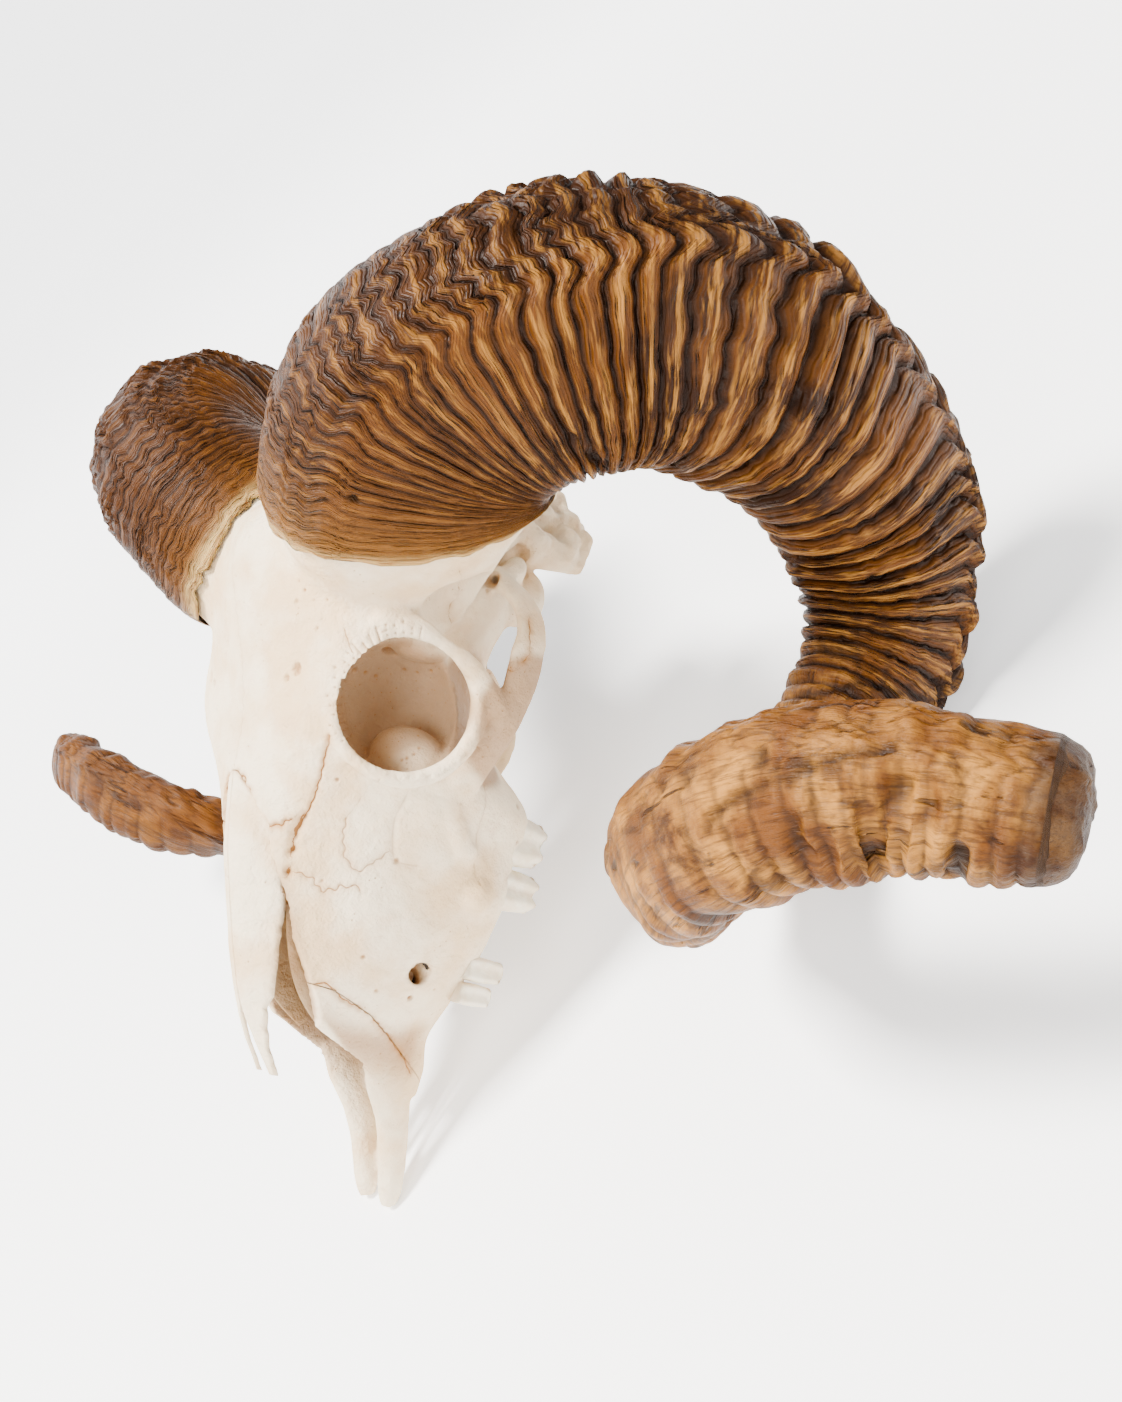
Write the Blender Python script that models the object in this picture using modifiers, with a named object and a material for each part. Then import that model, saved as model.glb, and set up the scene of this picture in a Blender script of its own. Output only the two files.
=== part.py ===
"""A ram's skull with its two curled horns, at life size.

The skull is modelled in its own anatomical axes, in millimetres: +X to the
animal's left, +Y towards the back of the head and +Z up, with Y = 0 at the tips
of the front bones and Z = 0 at the chewing surface. At the end one empty turns
and lifts everything so that the skull lies as it would on a table.
"""

import math

import bmesh
import bpy
import numpy as np
from mathutils import Euler, Matrix, Vector

MM = 0.001
GAP = 0.35  # clear space kept between bones that touch, in mm

# Turn (degrees about X, Y and Z) that lays the skull on both curls and the tips of its front bones
REST_TURN = (24.2, -1.1, 0.0)

# Horn: centre line of the left horn and half sizes of its section (mm)
HORN_LINE = [
    (53, 234, 96), (87, 260, 110), (127, 290, 66), (133, 282, -18), (123, 228, -61),
    (120, 156, -21), (155, 129, 49), (218, 145, 76), (268, 148, 58.5),
]
HORN_DEPTH = [48.5, 42, 34.5, 19, 20.5, 14]  # across, away from the middle of the curl
HORN_WIDTH = [38, 32, 28, 17.5, 14, 12]  # across, from the skull's side to the outer side
HORN_EYE = (222.0, 8.0)  # Y and Z of the middle of the curl
HORN_END_UP = (0.023, 0.959, 0.284)  # direction in which the last part is deepest
RIGHT_BEND = {3: (14, -10, 6), 4: (14, -10, 6), 5: (6, -4, 3)}  # how the right line differs
RIM_START = {"left": 0.012, "right": -0.024}  # where the rim begins, as a share of the line
RIM_RISE = 0.055  # how much further along it lies on the inner side of the curl
RIM_LOW = 10.0  # angle round the horn of the rim's lowest side
BASE_SIZE = {"left": 1.0, "right": 0.95}
THIN = {"left": 1.0, "right": 0.75}  # size of the last half
RIB_STEP = 10.5  # mm from rib to rib
RIB_HEIGHT = 1.5
RIB_END = 0.60  # share of the line that has strong ribs
TIP_RINGS = 17
RIM_FADE = 0.24  # share of the line over which the rings turn square to it
AROUND = 22  # corners of the horn's section
SECTION_POWER = 2.35  # above 2 the section's sides are flatter than an oval's
KEEL_ANGLE = 62.0
KEEL_HEIGHT = 0.05

# Skull: half outlines at stations along Y, from the top middle to the bottom middle (mm)
SKULL_STATIONS = [
    (44, [(0, 32), (8, 32), (12, 29), (14, 25), (14.5, 20), (13, 14), (10, 11), (5, 10.5), (0, 10.5)]),
    (56, [(0, 52), (10, 51), (15, 46), (17, 38), (17.5, 28), (16, 19), (13, 13), (6, 12), (0, 12)]),
    (66, [(0, 70), (12, 69), (18.5, 64), (20, 52), (20, 36), (18.5, 24), (15, 15), (7, 13), (0, 13)]),
    (80, [(0, 80), (13, 78), (19.5, 73), (25, 58), (27, 40), (26, 26), (23, 14), (12, 14), (0, 14)]),
    (98, [(0, 94), (15, 87), (20, 82), (29, 66), (34, 50), (35, 32), (30, 11), (16, 14), (0, 15)]),
    (116, [(0, 101), (16, 95), (22, 89), (32, 72), (37, 55), (41, 26), (34, 9), (17, 14), (0, 15)]),
    (134, [(0, 105.5), (17, 101), (28, 93), (37, 78), (43, 60), (45, 42), (35, 9), (17, 14), (0, 15)]),
    (150, [(0, 108), (20, 105), (35, 100), (46, 84), (48, 64), (49, 44), (36, 9), (16, 15), (0, 16)]),
    (166, [(0, 111), (22, 109), (43, 104), (55, 88), (50, 62), (40, 40), (24, 20), (12, 20), (0, 24)]),
    (184, [(0, 116.5), (22, 114), (45, 105), (56, 88), (46, 64), (36, 44), (22, 28), (10, 28), (0, 30)]),
    (200, [(0, 122), (22, 119), (44, 106), (50, 86), (42, 65), (38, 48), (24, 32), (10, 30), (0, 30)]),
    (216, [(0, 125), (22, 120), (44, 106), (46, 84), (43, 65), (41, 47), (26, 28), (10, 24), (0, 24)]),
    (232, [(0, 119), (22, 114), (38, 100), (41, 82), (39, 62), (35, 44), (24, 26), (10, 20), (0, 20)]),
    (246, [(0, 100), (18, 96), (32, 84), (38, 70), (37, 55), (33, 40), (24, 24), (10, 16), (0, 16)]),
    (258, [(0, 74), (14, 72), (26, 64), (31, 54), (30, 43), (26, 32), (19, 21), (10, 14), (0, 14)]),
    (265, [(0, 60), (8, 58), (15, 54), (18, 48), (17, 42), (14, 34), (11, 28), (6, 24), (0, 24)]),
]
BONE_STEP = 2.2  # mm, fineness at which the bone forms are fused
BONE_FACES = 5200

ORBIT_CENTRE = (51.0, 170.0, 78.0)
ORBIT_NORMAL = (0.93, -0.05, 0.36)
ORBIT_RADIUS = 22.0
ORBIT_RIM = 3.6

# Nose bones: station along Y, inner edge, outer edge, height of the middle line (mm)
NASAL_STATIONS = [
    (44.5, 4.4, 6.2, 69.0), (54, 3.2, 7.4, 76.0), (61, 1.8, 8.6, 80.5), (66, 0.6, 9.6, 83.0),
    (70, 0.4, 11.8, 85.0), (84, 0.4, 14.2, 91.0), (100, 0.4, 16.2, 96.5), (116, 0.4, 16.5, 102.0),
    (140, 0.4, 15.5, 106.4),
]
NASAL_DROP = 12.0  # fall of the nose bone's roof at NASAL_HALF from the middle
NASAL_HALF = 17.0
NASAL_THICK = 2.4
NASAL_BACK_SLANT = 16.0

# Side view (Y, Z) of the edge of the nose opening, and of the front bones' seam
OPENING_EDGE = [
    (-5, 30), (40, 28.5), (46, 32), (52, 39), (58, 50), (63, 61), (76, 69), (90, 79), (104, 86),
    (114, 93), (114, 140), (-5, 140),
]
FRONT_SEAM = [(77, 75), (76, 62), (70, 45), (62, 31), (55, 21), (47, 8), (44, 0)]

# Teeth: middle along Y, length, height below the jaw, distance from the middle plane (mm)
TEETH = [
    (83.5, 8.0, 9.0, 25.5), (92.5, 9.0, 10.5, 27.5), (122.0, 15.0, 14.5, 31.5), (139.5, 18.0, 12.5, 32.5),
]
TOOTH_WIDTH = 10.0
JAW_EDGE = 11.0  # height of the tooth sockets' edge

BONE_COLOUR = (0.83, 0.78, 0.68, 1.0)
HORN_COLOUR = (0.30, 0.16, 0.07, 1.0)


def clear_scene():
    """Empty the file, so that only this model is in it."""
    for thing in list(bpy.data.objects):
        bpy.data.objects.remove(thing, do_unlink=True)


def new_collection(name):
    """A collection linked to the scene."""
    made = bpy.data.collections.new(name)
    bpy.context.scene.collection.children.link(made)
    return made


def material(name, colour, roughness):
    """A plain material with one colour."""
    made = bpy.data.materials.new(name)
    made.use_nodes = True
    shader = made.node_tree.nodes["Principled BSDF"]
    shader.inputs["Base Color"].default_value = colour
    shader.inputs["Roughness"].default_value = roughness
    shader.inputs["Metallic"].default_value = 0.0
    return made


def add_object(name, group, work):
    """Make an object from a bmesh in mm, with its faces pointing out."""
    bmesh.ops.recalc_face_normals(work, faces=work.faces)
    mesh = bpy.data.meshes.new(name)
    work.to_mesh(mesh)
    work.free()
    made = bpy.data.objects.new(name, mesh)
    group.objects.link(made)
    return made


def loft(name, group, rings, ends=(None, None)):
    """Skin a list of closed rings. An end point given in ends closes that end with a fan."""
    work = bmesh.new()
    rows = [[work.verts.new(p) for p in ring] for ring in rings]
    count = len(rows[0])
    for low, high in zip(rows, rows[1:]):
        for i in range(count):
            j = (i + 1) % count
            work.faces.new((low[i], low[j], high[j], high[i]))
    for row, point in ((rows[0], ends[0]), (rows[-1], ends[1])):
        if point is None:
            work.faces.new(row)
            continue
        tip = work.verts.new(point)
        for i in range(count):
            work.faces.new((row[i], row[(i + 1) % count], tip))
    return add_object(name, group, work)


def smooth_line(points, shares):
    """Points on a natural cubic spline through the given points, at shares of its length."""
    given = np.array(points, float)
    n = len(given)
    knots = given.reshape(n, -1)
    system = np.zeros((n, n))
    right = np.zeros_like(knots)
    system[0, 0] = system[-1, -1] = 1.0
    for i in range(1, n - 1):
        system[i, i - 1:i + 2] = (1.0, 4.0, 1.0)
        right[i] = 6.0 * (knots[i + 1] - 2.0 * knots[i] + knots[i - 1])
    bend = np.linalg.solve(system, right)
    place = np.asarray(shares, float) * (n - 1)
    cell = np.clip(np.floor(place).astype(int), 0, n - 2)
    u = (place - cell)[:, None]
    v = 1.0 - u
    found = knots[cell] * v + knots[cell + 1] * u
    found += ((v ** 3 - v) * bend[cell] + (u ** 3 - u) * bend[cell + 1]) / 6.0
    return found.reshape((len(place),) + given.shape[1:])


def sweep(name, group, path, sizes, up, corners=10, steps=14):
    """A limb of oval section along a smooth path; sizes are half width and half height."""
    shares = np.linspace(0.0, 1.0, steps)
    centres = smooth_line(path, shares)
    halves = smooth_line(sizes, shares)
    rings = []
    for i in range(steps):
        ahead = centres[min(i + 1, steps - 1)] - centres[max(i - 1, 0)]
        along = Vector(ahead).normalized()
        side = along.cross(Vector(up)).normalized()
        rise = side.cross(along)
        ring = []
        for k in range(corners):
            turn = 2.0 * math.pi * k / corners
            offset = side * (halves[i][0] * math.cos(turn)) + rise * (halves[i][1] * math.sin(turn))
            ring.append(Vector(centres[i]) + offset)
        rings.append(ring)
    return loft(name, group, rings)


def ball(name, group, centre, radii, turn=(0, 0, 0), segments=16):
    """An ellipsoid, turned by degrees about X, Y and Z."""
    work = bmesh.new()
    bmesh.ops.create_uvsphere(work, u_segments=segments, v_segments=segments // 2, radius=1.0)
    angles = Euler([math.radians(a) for a in turn])
    place = Matrix.Translation(centre) @ angles.to_matrix().to_4x4() @ Matrix.Diagonal((*radii, 1.0))
    work.transform(place)
    return add_object(name, group, work)


def prism(name, group, outline, half):
    """A side-view (Y, Z) outline drawn through the skull from X = -half to X = half."""
    rings = [[(x, y, z) for y, z in outline] for x in (-half, half)]
    return loft(name, group, rings)


def mirrored(thing, group):
    """The same form on the other side of the middle plane."""
    work = bmesh.new()
    work.from_mesh(thing.data)
    work.transform(Matrix.Diagonal((-1.0, 1.0, 1.0, 1.0)))
    bmesh.ops.reverse_faces(work, faces=work.faces)
    return add_object(thing.name + "_mirror", group, work)


def flipped(thing):
    """The form itself moved to the other side of the middle plane."""
    thing.data.transform(Matrix.Diagonal((-1.0, 1.0, 1.0, 1.0)))
    thing.data.flip_normals()
    return thing


def apply_modifiers(thing):
    """Turn what the modifiers make into the object's own mesh."""
    bpy.context.view_layer.update()
    seen = thing.evaluated_get(bpy.context.evaluated_depsgraph_get())
    mesh = bpy.data.meshes.new_from_object(seen)
    thing.modifiers.clear()
    thing.data = mesh


def join_all(name, group, things):
    """Put several closed forms into one mesh."""
    work = bmesh.new()
    for thing in things:
        work.from_mesh(thing.data)
        bpy.data.objects.remove(thing, do_unlink=True)
    return add_object(name, group, work)


def fuse(thing, step, faces):
    """Melt the overlapping forms of one mesh together and keep about the given faces."""
    grid = thing.modifiers.new("fuse", "REMESH")
    grid.mode = "VOXEL"
    grid.voxel_size = step
    soft = thing.modifiers.new("soften", "SMOOTH")
    soft.factor = 0.5
    soft.iterations = 3
    apply_modifiers(thing)
    total = sum(len(face.vertices) - 2 for face in thing.data.polygons)
    fewer = thing.modifiers.new("fewer", "DECIMATE")
    fewer.ratio = min(1.0, faces / total)
    apply_modifiers(thing)


def cut(thing, others, operation="DIFFERENCE"):
    """Boolean with each object in turn."""
    for other in others:
        step = thing.modifiers.new("cut", "BOOLEAN")
        step.operation = operation
        step.object = other
        step.solver = "EXACT"
        apply_modifiers(thing)


def keep_largest(thing):
    """Keep only the largest closed surface, and split its faces into triangles."""
    work = bmesh.new()
    work.from_mesh(thing.data)
    bmesh.ops.remove_doubles(work, verts=work.verts, dist=0.004)
    bmesh.ops.dissolve_degenerate(work, edges=work.edges, dist=0.004)
    left = set(work.verts)
    groups = []
    while left:
        start = left.pop()
        found = {start}
        edge = [start]
        while edge:
            vert = edge.pop()
            for link in vert.link_edges:
                other = link.other_vert(vert)
                if other in left:
                    left.discard(other)
                    found.add(other)
                    edge.append(other)
        groups.append(found)
    groups.sort(key=len)
    drop = [vert for found in groups[:-1] for vert in found]
    bmesh.ops.delete(work, geom=drop, context="VERTS")
    bmesh.ops.triangulate(work, faces=work.faces)
    work.to_mesh(thing.data)
    work.free()


def squared(value):
    """A sine or cosine bent so that the outline it draws is a little square."""
    return math.copysign(abs(value) ** (2.0 / SECTION_POWER), value)


class HornShape:
    """A horn's surface, as a function of the share along it and the angle round it.

    Both horns are drawn on the left side; the right one is mirrored afterwards.
    """

    def __init__(self, side):
        self.side_name = side
        bends = RIGHT_BEND if side == "right" else {}
        knots = [np.add(p, bends.get(i, (0, 0, 0))) for i, p in enumerate(HORN_LINE)]
        fine = np.linspace(0.0, 1.0, 241)
        line = smooth_line(knots, fine)
        along = np.gradient(line, axis=0)
        along /= np.linalg.norm(along, axis=1)[:, None]
        out = np.empty_like(line)
        vector = np.array([0.3, -0.6, 0.75])
        for i, tangent in enumerate(along):
            vector = vector - tangent * (vector @ tangent)
            vector = vector / np.linalg.norm(vector)
            out[i] = vector
        side_way = np.cross(along, out)
        want = line - np.array([0.0, *HORN_EYE])
        want[:, 0] = 0.0
        turn = np.unwrap(np.arctan2(np.sum(want * side_way, 1), np.sum(want * out, 1)))
        blend = np.clip((fine - 0.58) / 0.24, 0.0, 1.0)
        blend = blend * blend * (3.0 - 2.0 * blend)
        late = np.array(HORN_END_UP)
        end = np.unwrap(np.arctan2(side_way @ late, out @ late))
        end -= 2.0 * math.pi * round((end[-10] - turn[-10]) / (2.0 * math.pi))
        turn = turn * (1.0 - blend) + end * blend
        self.fine = fine
        self.line = line
        self.along = along
        self.out = np.cos(turn)[:, None] * out + np.sin(turn)[:, None] * side_way
        self.side = -np.sin(turn)[:, None] * out + np.cos(turn)[:, None] * side_way
        slim = 1.0 + (THIN[side] - 1.0) * np.clip((fine - 0.35) / 0.45, 0.0, 1.0)
        slim *= BASE_SIZE[side]
        self.depth = smooth_line([[d] for d in HORN_DEPTH], fine)[:, 0] * slim
        self.width = smooth_line([[w] for w in HORN_WIDTH], fine)[:, 0] * slim
        self.length = float(np.linalg.norm(np.diff(line, axis=0), axis=1).sum())
        self.start = RIM_START[side]

    def frame(self, share):
        """Centre, out, side and along directions and half sizes at a share of the line."""
        inside = min(max(share, 0.0), 1.0)
        at = [np.array([np.interp(inside, self.fine, column) for column in table.T])
              for table in (self.line, self.out, self.side, self.along)]
        at[0] = at[0] + at[3] * (share - inside) * self.length
        depth = float(np.interp(inside, self.fine, self.depth))
        width = float(np.interp(inside, self.fine, self.width))
        return at[0], at[1], at[2], at[3], depth, width

    def rim(self, angle):
        """Share at which the horn begins, at an angle round it."""
        lift = (1.0 - math.cos(angle - math.radians(RIM_LOW))) / 2.0
        return self.start + RIM_RISE * lift ** 2.5

    def point(self, share, angle, scale=1.0, grow=0.0):
        """A point on the skin: a squared oval with a keel between its front and outer side."""
        centre, out, side, _, depth, width = self.frame(share)
        away = (math.degrees(angle) - KEEL_ANGLE + 180.0) % 360.0 - 180.0
        keel = 1.0 + KEEL_HEIGHT * math.exp(-(away / 20.0) ** 2) * max(0.0, 1.0 - share)
        reach = scale * keel
        return (centre + out * squared(math.cos(angle)) * (depth * reach + grow)
                + side * squared(math.sin(angle)) * (width * reach + grow))

    def ring(self, share, scale=1.0, grow=0.0, corners=AROUND):
        """The points round the horn at one share of its line."""
        return [self.point(share, 2.0 * math.pi * k / corners, scale, grow) for k in range(corners)]

    def rim_ring(self, scale, shift, grow=0.0):
        """The rim's ring moved along the horn by shift mm, at a scale about its middle."""
        ring = []
        for k in range(AROUND):
            angle = 2.0 * math.pi * k / AROUND
            share = self.start + scale * (self.rim(angle) - self.start) + shift / self.length
            ring.append(self.point(share, angle, scale, grow))
        return ring

    def row(self, share, grow=0.0):
        """A ring at a share of the line, held back behind the rim where that lies further on."""
        ring = []
        for k in range(AROUND):
            angle = 2.0 * math.pi * k / AROUND
            begin = self.rim(angle)
            fade = max(0.0, 1.0 - (share - self.start) / RIM_FADE)
            place = share + (begin - self.start) * fade
            ring.append(self.point(place, angle, 1.0, grow))
        return ring


def horn_stations(shape):
    """Shares and rib heights along the horn: valley and crest by turns, then a calmer tip."""
    stations = []
    first = shape.start + RIB_STEP / shape.length
    count = 2 * round((RIB_END - first) * shape.length / RIB_STEP)
    for i in range(count):
        share = first + (RIB_END - first) * i / count
        rise = RIB_HEIGHT * (0.35 + 0.65 * min(1.0, i / 16.0))
        stations.append((share, rise if i % 2 else -0.3 * rise))
    for i in range(1, TIP_RINGS + 1):
        share = RIB_END + (0.99 - RIB_END) * i / TIP_RINGS
        stations.append((share, 0.5 * math.sin(i * 1.9)))
    return stations


def build_horn(name, group, side):
    """One horn with coarse ribs, closed at the rim and at the tip."""
    shape = HornShape(side)
    rings = [shape.rim_ring(1.0, 0.0)]
    for share, rise in horn_stations(shape):
        rings.append(shape.row(share, rise))
    tip, _, _, along, depth, _ = shape.frame(1.0)
    if side == "left":
        rings.append(shape.ring(1.0, 0.84))
        end = tip + along * 1.0
    else:
        rings.append(shape.ring(1.0, 0.80))
        rings.append(shape.ring(1.0 + 0.45 * depth / shape.length, 0.52))
        end = tip + along * depth * 0.72
    return loft(name, group, rings, (shape.frame(shape.start)[0], end))


def horn_room(name, group, side):
    """What the bone leaves free for a horn's base."""
    shape = HornShape(side)
    rings = [shape.rim_ring(1.0, -GAP * 1.3, GAP), shape.row(0.10, 4.0), shape.row(0.2, 4.0)]
    start, _, _, along, _, _ = shape.frame(shape.start)
    return loft(name, group, rings, (start - along * GAP * 1.3, shape.frame(0.2)[0]))


def horn_boss(name, group, side):
    """The bony stump on the brow that carries a horn."""
    shape = HornShape(side)
    rings = [shape.rim_ring(0.50, -56.0), shape.rim_ring(0.78, -26.0), shape.rim_ring(0.92, -9.0),
             shape.rim_ring(0.94, 3.0)]
    return loft(name, group, rings)


def nasal_grid(extra):
    """Points of the roof of the left nose bone, widened all round by extra mm."""
    table = np.array(NASAL_STATIONS, float)
    rows = []
    for u in np.linspace(0.0, 1.0, 15):
        row = []
        for v in np.linspace(0.0, 1.0, 6):
            back = table[-1, 0] - NASAL_BACK_SLANT * v ** 1.5
            y = table[0, 0] - extra + (back - table[0, 0] + 2.0 * extra) * u
            inner = np.interp(y, table[:, 0], table[:, 1]) - extra
            outer = np.interp(y, table[:, 0], table[:, 2]) + extra
            x = inner + (outer - inner) * v
            top = np.interp(y, table[:, 0], table[:, 3])
            row.append((x, y, top - NASAL_DROP * (x / NASAL_HALF) ** 2))
        rows.append(row)
    return rows


def plate(name, group, rows, above, below):
    """A closed plate that reaches above and below a grid of points."""
    work = bmesh.new()
    top = [[work.verts.new((x, y, z + above)) for x, y, z in row] for row in rows]
    low = [[work.verts.new((x, y, z - below)) for x, y, z in row] for row in rows]
    last = len(rows[0]) - 1
    for i in range(len(rows) - 1):
        for k in range(last):
            work.faces.new((top[i][k], top[i][k + 1], top[i + 1][k + 1], top[i + 1][k]))
            work.faces.new((low[i][k], low[i + 1][k], low[i + 1][k + 1], low[i][k + 1]))
        for k in (0, last):
            work.faces.new((top[i][k], top[i + 1][k], low[i + 1][k], low[i][k]))
    for i in (0, len(rows) - 1):
        for k in range(last):
            work.faces.new((top[i][k], low[i][k], low[i][k + 1], top[i][k + 1]))
    return add_object(name, group, work)


def nose_room(name, group):
    """What the bone leaves free for both nose bones."""
    room = GAP * 1.5
    rows = []
    for row in nasal_grid(room):
        rows.append([(-x, y, z) for x, y, z in reversed(row[1:])] + [(0.0, *row[0][1:])] + row[1:])
    return plate(name, group, rows, 8.0, NASAL_THICK + room)


def skull_hull(name, group):
    """The main form of the skull, lofted through its stations."""
    half = [np.array([[x, y, z] for x, z in outline]) for y, outline in SKULL_STATIONS]
    table = smooth_line(half, np.linspace(0.0, 1.0, 46))
    rings = []
    for row in table:
        line = smooth_line(row, np.linspace(0.0, 1.0, 19))
        line[0, 0] = line[-1, 0] = 0.0
        other = line[1:-1][::-1] * np.array([-1.0, 1.0, 1.0])
        rings.append([tuple(p) for p in line] + [tuple(p) for p in other])
    return loft(name, group, rings)


def orbit_rim(name, group):
    """The raised ring of bone round the left eye socket."""
    normal = Vector(ORBIT_NORMAL).normalized()
    side = normal.cross(Vector((0, 0, 1))).normalized()
    rise = side.cross(normal)
    path = []
    for k in range(24):
        turn = 2.0 * math.pi * k / 24
        reach = ORBIT_RADIUS + ORBIT_RIM * 0.75
        path.append(Vector(ORBIT_CENTRE) + (side * math.cos(turn) + rise * math.sin(turn)) * reach)
    work = bmesh.new()
    rows = []
    for k, centre in enumerate(path):
        spoke = (centre - Vector(ORBIT_CENTRE)).normalized()
        row = []
        for c in range(8):
            angle = 2.0 * math.pi * c / 8
            offset = spoke * math.cos(angle) * ORBIT_RIM + normal * math.sin(angle) * ORBIT_RIM * 1.3
            row.append(work.verts.new(centre + offset))
        rows.append(row)
    for k in range(24):
        for c in range(8):
            d = (c + 1) % 8
            after = rows[(k + 1) % 24]
            work.faces.new((rows[k][c], rows[k][d], after[d], after[c]))
    return add_object(name, group, work)


def side_forms(group):
    """The bones that stand out on the left side, each a closed form."""
    up = (0, 0, 1)
    out = (1, 0, 0)
    return [
        orbit_rim("orbit_rim", group),
        sweep("cheek_arch", group,
              [(44, 144, 50), (53, 160, 47), (59, 176, 43), (61, 192, 39.5), (59, 207, 39), (51, 218, 42),
               (38, 227, 48)],
              [(4, 8), (3.6, 6.5), (3.2, 5.5), (3.0, 4.8), (3.0, 4.6), (3.4, 5.0), (4, 6)], up),
        sweep("bar_behind_eye", group,
              [(50, 194, 96), (57, 193, 82), (60.5, 188, 66), (60, 180, 52), (58, 174, 46)],
              [(6, 5), (4, 3.6), (3.4, 3.4), (4, 4), (5, 4)], out),
        sweep("temple_ridge", group,
              [(42, 214, 84), (41, 228, 62), (38, 240, 48), (33, 250, 40), (28, 257, 34)],
              [(5, 5), (4, 5), (4, 5), (4, 6), (4, 5)], up),
        sweep("nape_ridge", group,
              [(0, 263, 66), (14, 264, 62), (27, 259, 54), (35, 251, 44), (35, 246, 30), (29, 246, 16)],
              [(4, 4), (4, 4), (4.5, 4), (5, 4.5), (5, 5), (4, 4)], (0, 1, 0)),
        ball("condyle", group, (14, 258, 8), (10, 10, 14), (25, 0, 0)),
        ball("nape_knob", group, (22, 261, 26), (9, 7, 9)),
        sweep("neck_process", group,
              [(33, 244, 34), (31, 246, 22), (28, 248, 10), (25, 248, 0)],
              [(7, 8), (6, 7), (5, 6), (3, 3.5)], (0, 1, 0)),
        ball("ear_drum", group, (27, 226, 26), (9, 11, 9)),
        sweep("ear_tube", group, [(28, 226, 34), (36, 230, 38), (43, 232, 42)],
              [(5, 5), (4.5, 4.5), (4, 4)], up),
        sweep("palate_wing", group,
              [(15, 158, 18), (15.5, 168, 14), (16, 178, 13), (15, 188, 18), (13, 198, 27)],
              [(3, 5), (2.4, 7), (2.2, 7), (2.4, 6), (4, 5)], up),
        ball("cheek_knob", group, (38.5, 117, 26), (6.5, 7, 7)),
        sweep("face_ridge", group, [(42, 128, 34), (45, 136, 44), (46, 146, 52), (46, 152, 60)],
              [(3, 4), (4, 4), (4, 4), (4, 4)], up),
    ]


def premaxilla_side(group):
    """The left front bone's rod, and the thin rod along the middle."""
    return [
        sweep("front_rod", group,
              [(6.8, 6.5, 10.5), (8.0, 13, 12), (9.2, 26, 15.5), (11.2, 40, 21), (13.5, 50, 26),
               (15, 60, 30)],
              [(2.6, 2.6), (4.0, 4.4), (3.9, 5.6), (3.4, 7.5), (3.2, 10), (3.2, 10)], (0, 0, 1)),
        sweep("middle_rod", group,
              [(5.6, 14, 9.5), (3.6, 24, 10), (2.8, 40, 11.5), (2.8, 54, 13), (2.8, 66, 14)],
              [(1.6, 1.6), (1.7, 1.7), (1.7, 1.8), (1.8, 2.2), (1.8, 2.4)], (0, 0, 1)),
    ]


def tooth_row(group, side):
    """The teeth of one side, each a tapered block with two cusps."""
    made = []
    for number, (middle, length, height, away) in enumerate(TEETH):
        half = length / 2.0
        cusps = 2 if length > 12.0 else 1
        outline = [(middle - half * 0.86, JAW_EDGE + 7.0), (middle + half * 0.86, JAW_EDGE + 7.0)]
        steps = cusps * 2
        for k in range(steps + 1):
            y = middle + half - length * k / steps
            dip = 0.0 if k % 2 else 2.2
            outline.append((y, JAW_EDGE - height + dip))
        rings = []
        for share, width in ((-1.0, 0.84), (-0.55, 1.0), (0.55, 1.0), (1.0, 0.84)):
            x = side * away + share * TOOTH_WIDTH / 2.0
            rings.append([(x, middle + (y - middle) * width, z) for y, z in outline])
        made.append(loft("tooth_%d" % number, group, rings))
    return made


def cavity_forms(group):
    """What is hollow or open in the skull before it is fused."""
    forms = []
    inner = []
    for y, top, wide, low in ((30, 60, 11, 17), (60, 84, 15, 19), (80, 92, 20, 20), (100, 98, 25, 22),
                              (118, 98, 20, 34)):
        inner.append([(-wide, y, low + 8), (-wide * 0.5, y, low), (wide * 0.5, y, low), (wide, y, low + 8),
                      (wide, y, low + 28), (wide * 0.62, y, top), (-wide * 0.62, y, top), (-wide, y, low + 28)])
    forms.append(loft("nose_cavity", group, inner))
    forms.append(prism("nose_opening", group, OPENING_EDGE, 60.0))
    forms.append(prism("front_slot", group, [(-5, -5), (60, -5), (60, 30), (-5, 30)], 5.0))
    normal = Vector(ORBIT_NORMAL).normalized()
    for side in (1, -1):
        centre = Vector(ORBIT_CENTRE) - normal * 6.0
        turned = normal.to_track_quat("Z", "Y").to_euler()
        angles = [math.degrees(a) for a in turned]
        socket = ball("socket", group, centre, (21.5, 21.5, 27.0), angles, 24)
        forms.append(socket if side > 0 else mirrored(socket, group))
        if side < 0:
            bpy.data.objects.remove(socket, do_unlink=True)
        forms.append(sweep("cheek_hole", group,
                           [(side * 38, 80, 31), (side * 27, 90, 37), (side * 20, 98, 42)],
                           [(2.6, 3.4), (2.6, 3.4), (2.2, 3)], (0, 0, 1)))
        forms.append(ball("back_hollow", group, (side * 60, 205, 66), (16, 14, 19)))
    return forms


def set_down(rest, nodes):
    """Shift the skull so that its lowest point is at Z = 0, under the middle of its box."""
    bpy.context.view_layer.update()
    places = [node.matrix_world @ vert.co for node in nodes for vert in node.data.vertices]
    low = [min(place[axis] for place in places) for axis in range(3)]
    high = [max(place[axis] for place in places) for axis in range(3)]
    rest.location = (-(low[0] + high[0]) / 2.0, -(low[1] + high[1]) / 2.0, -low[2])
    bpy.context.view_layer.update()


def hide_cutter(thing):
    """Show a cutter as wires only, and never in a render."""
    thing.hide_render = True
    thing.display_type = "WIRE"


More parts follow.
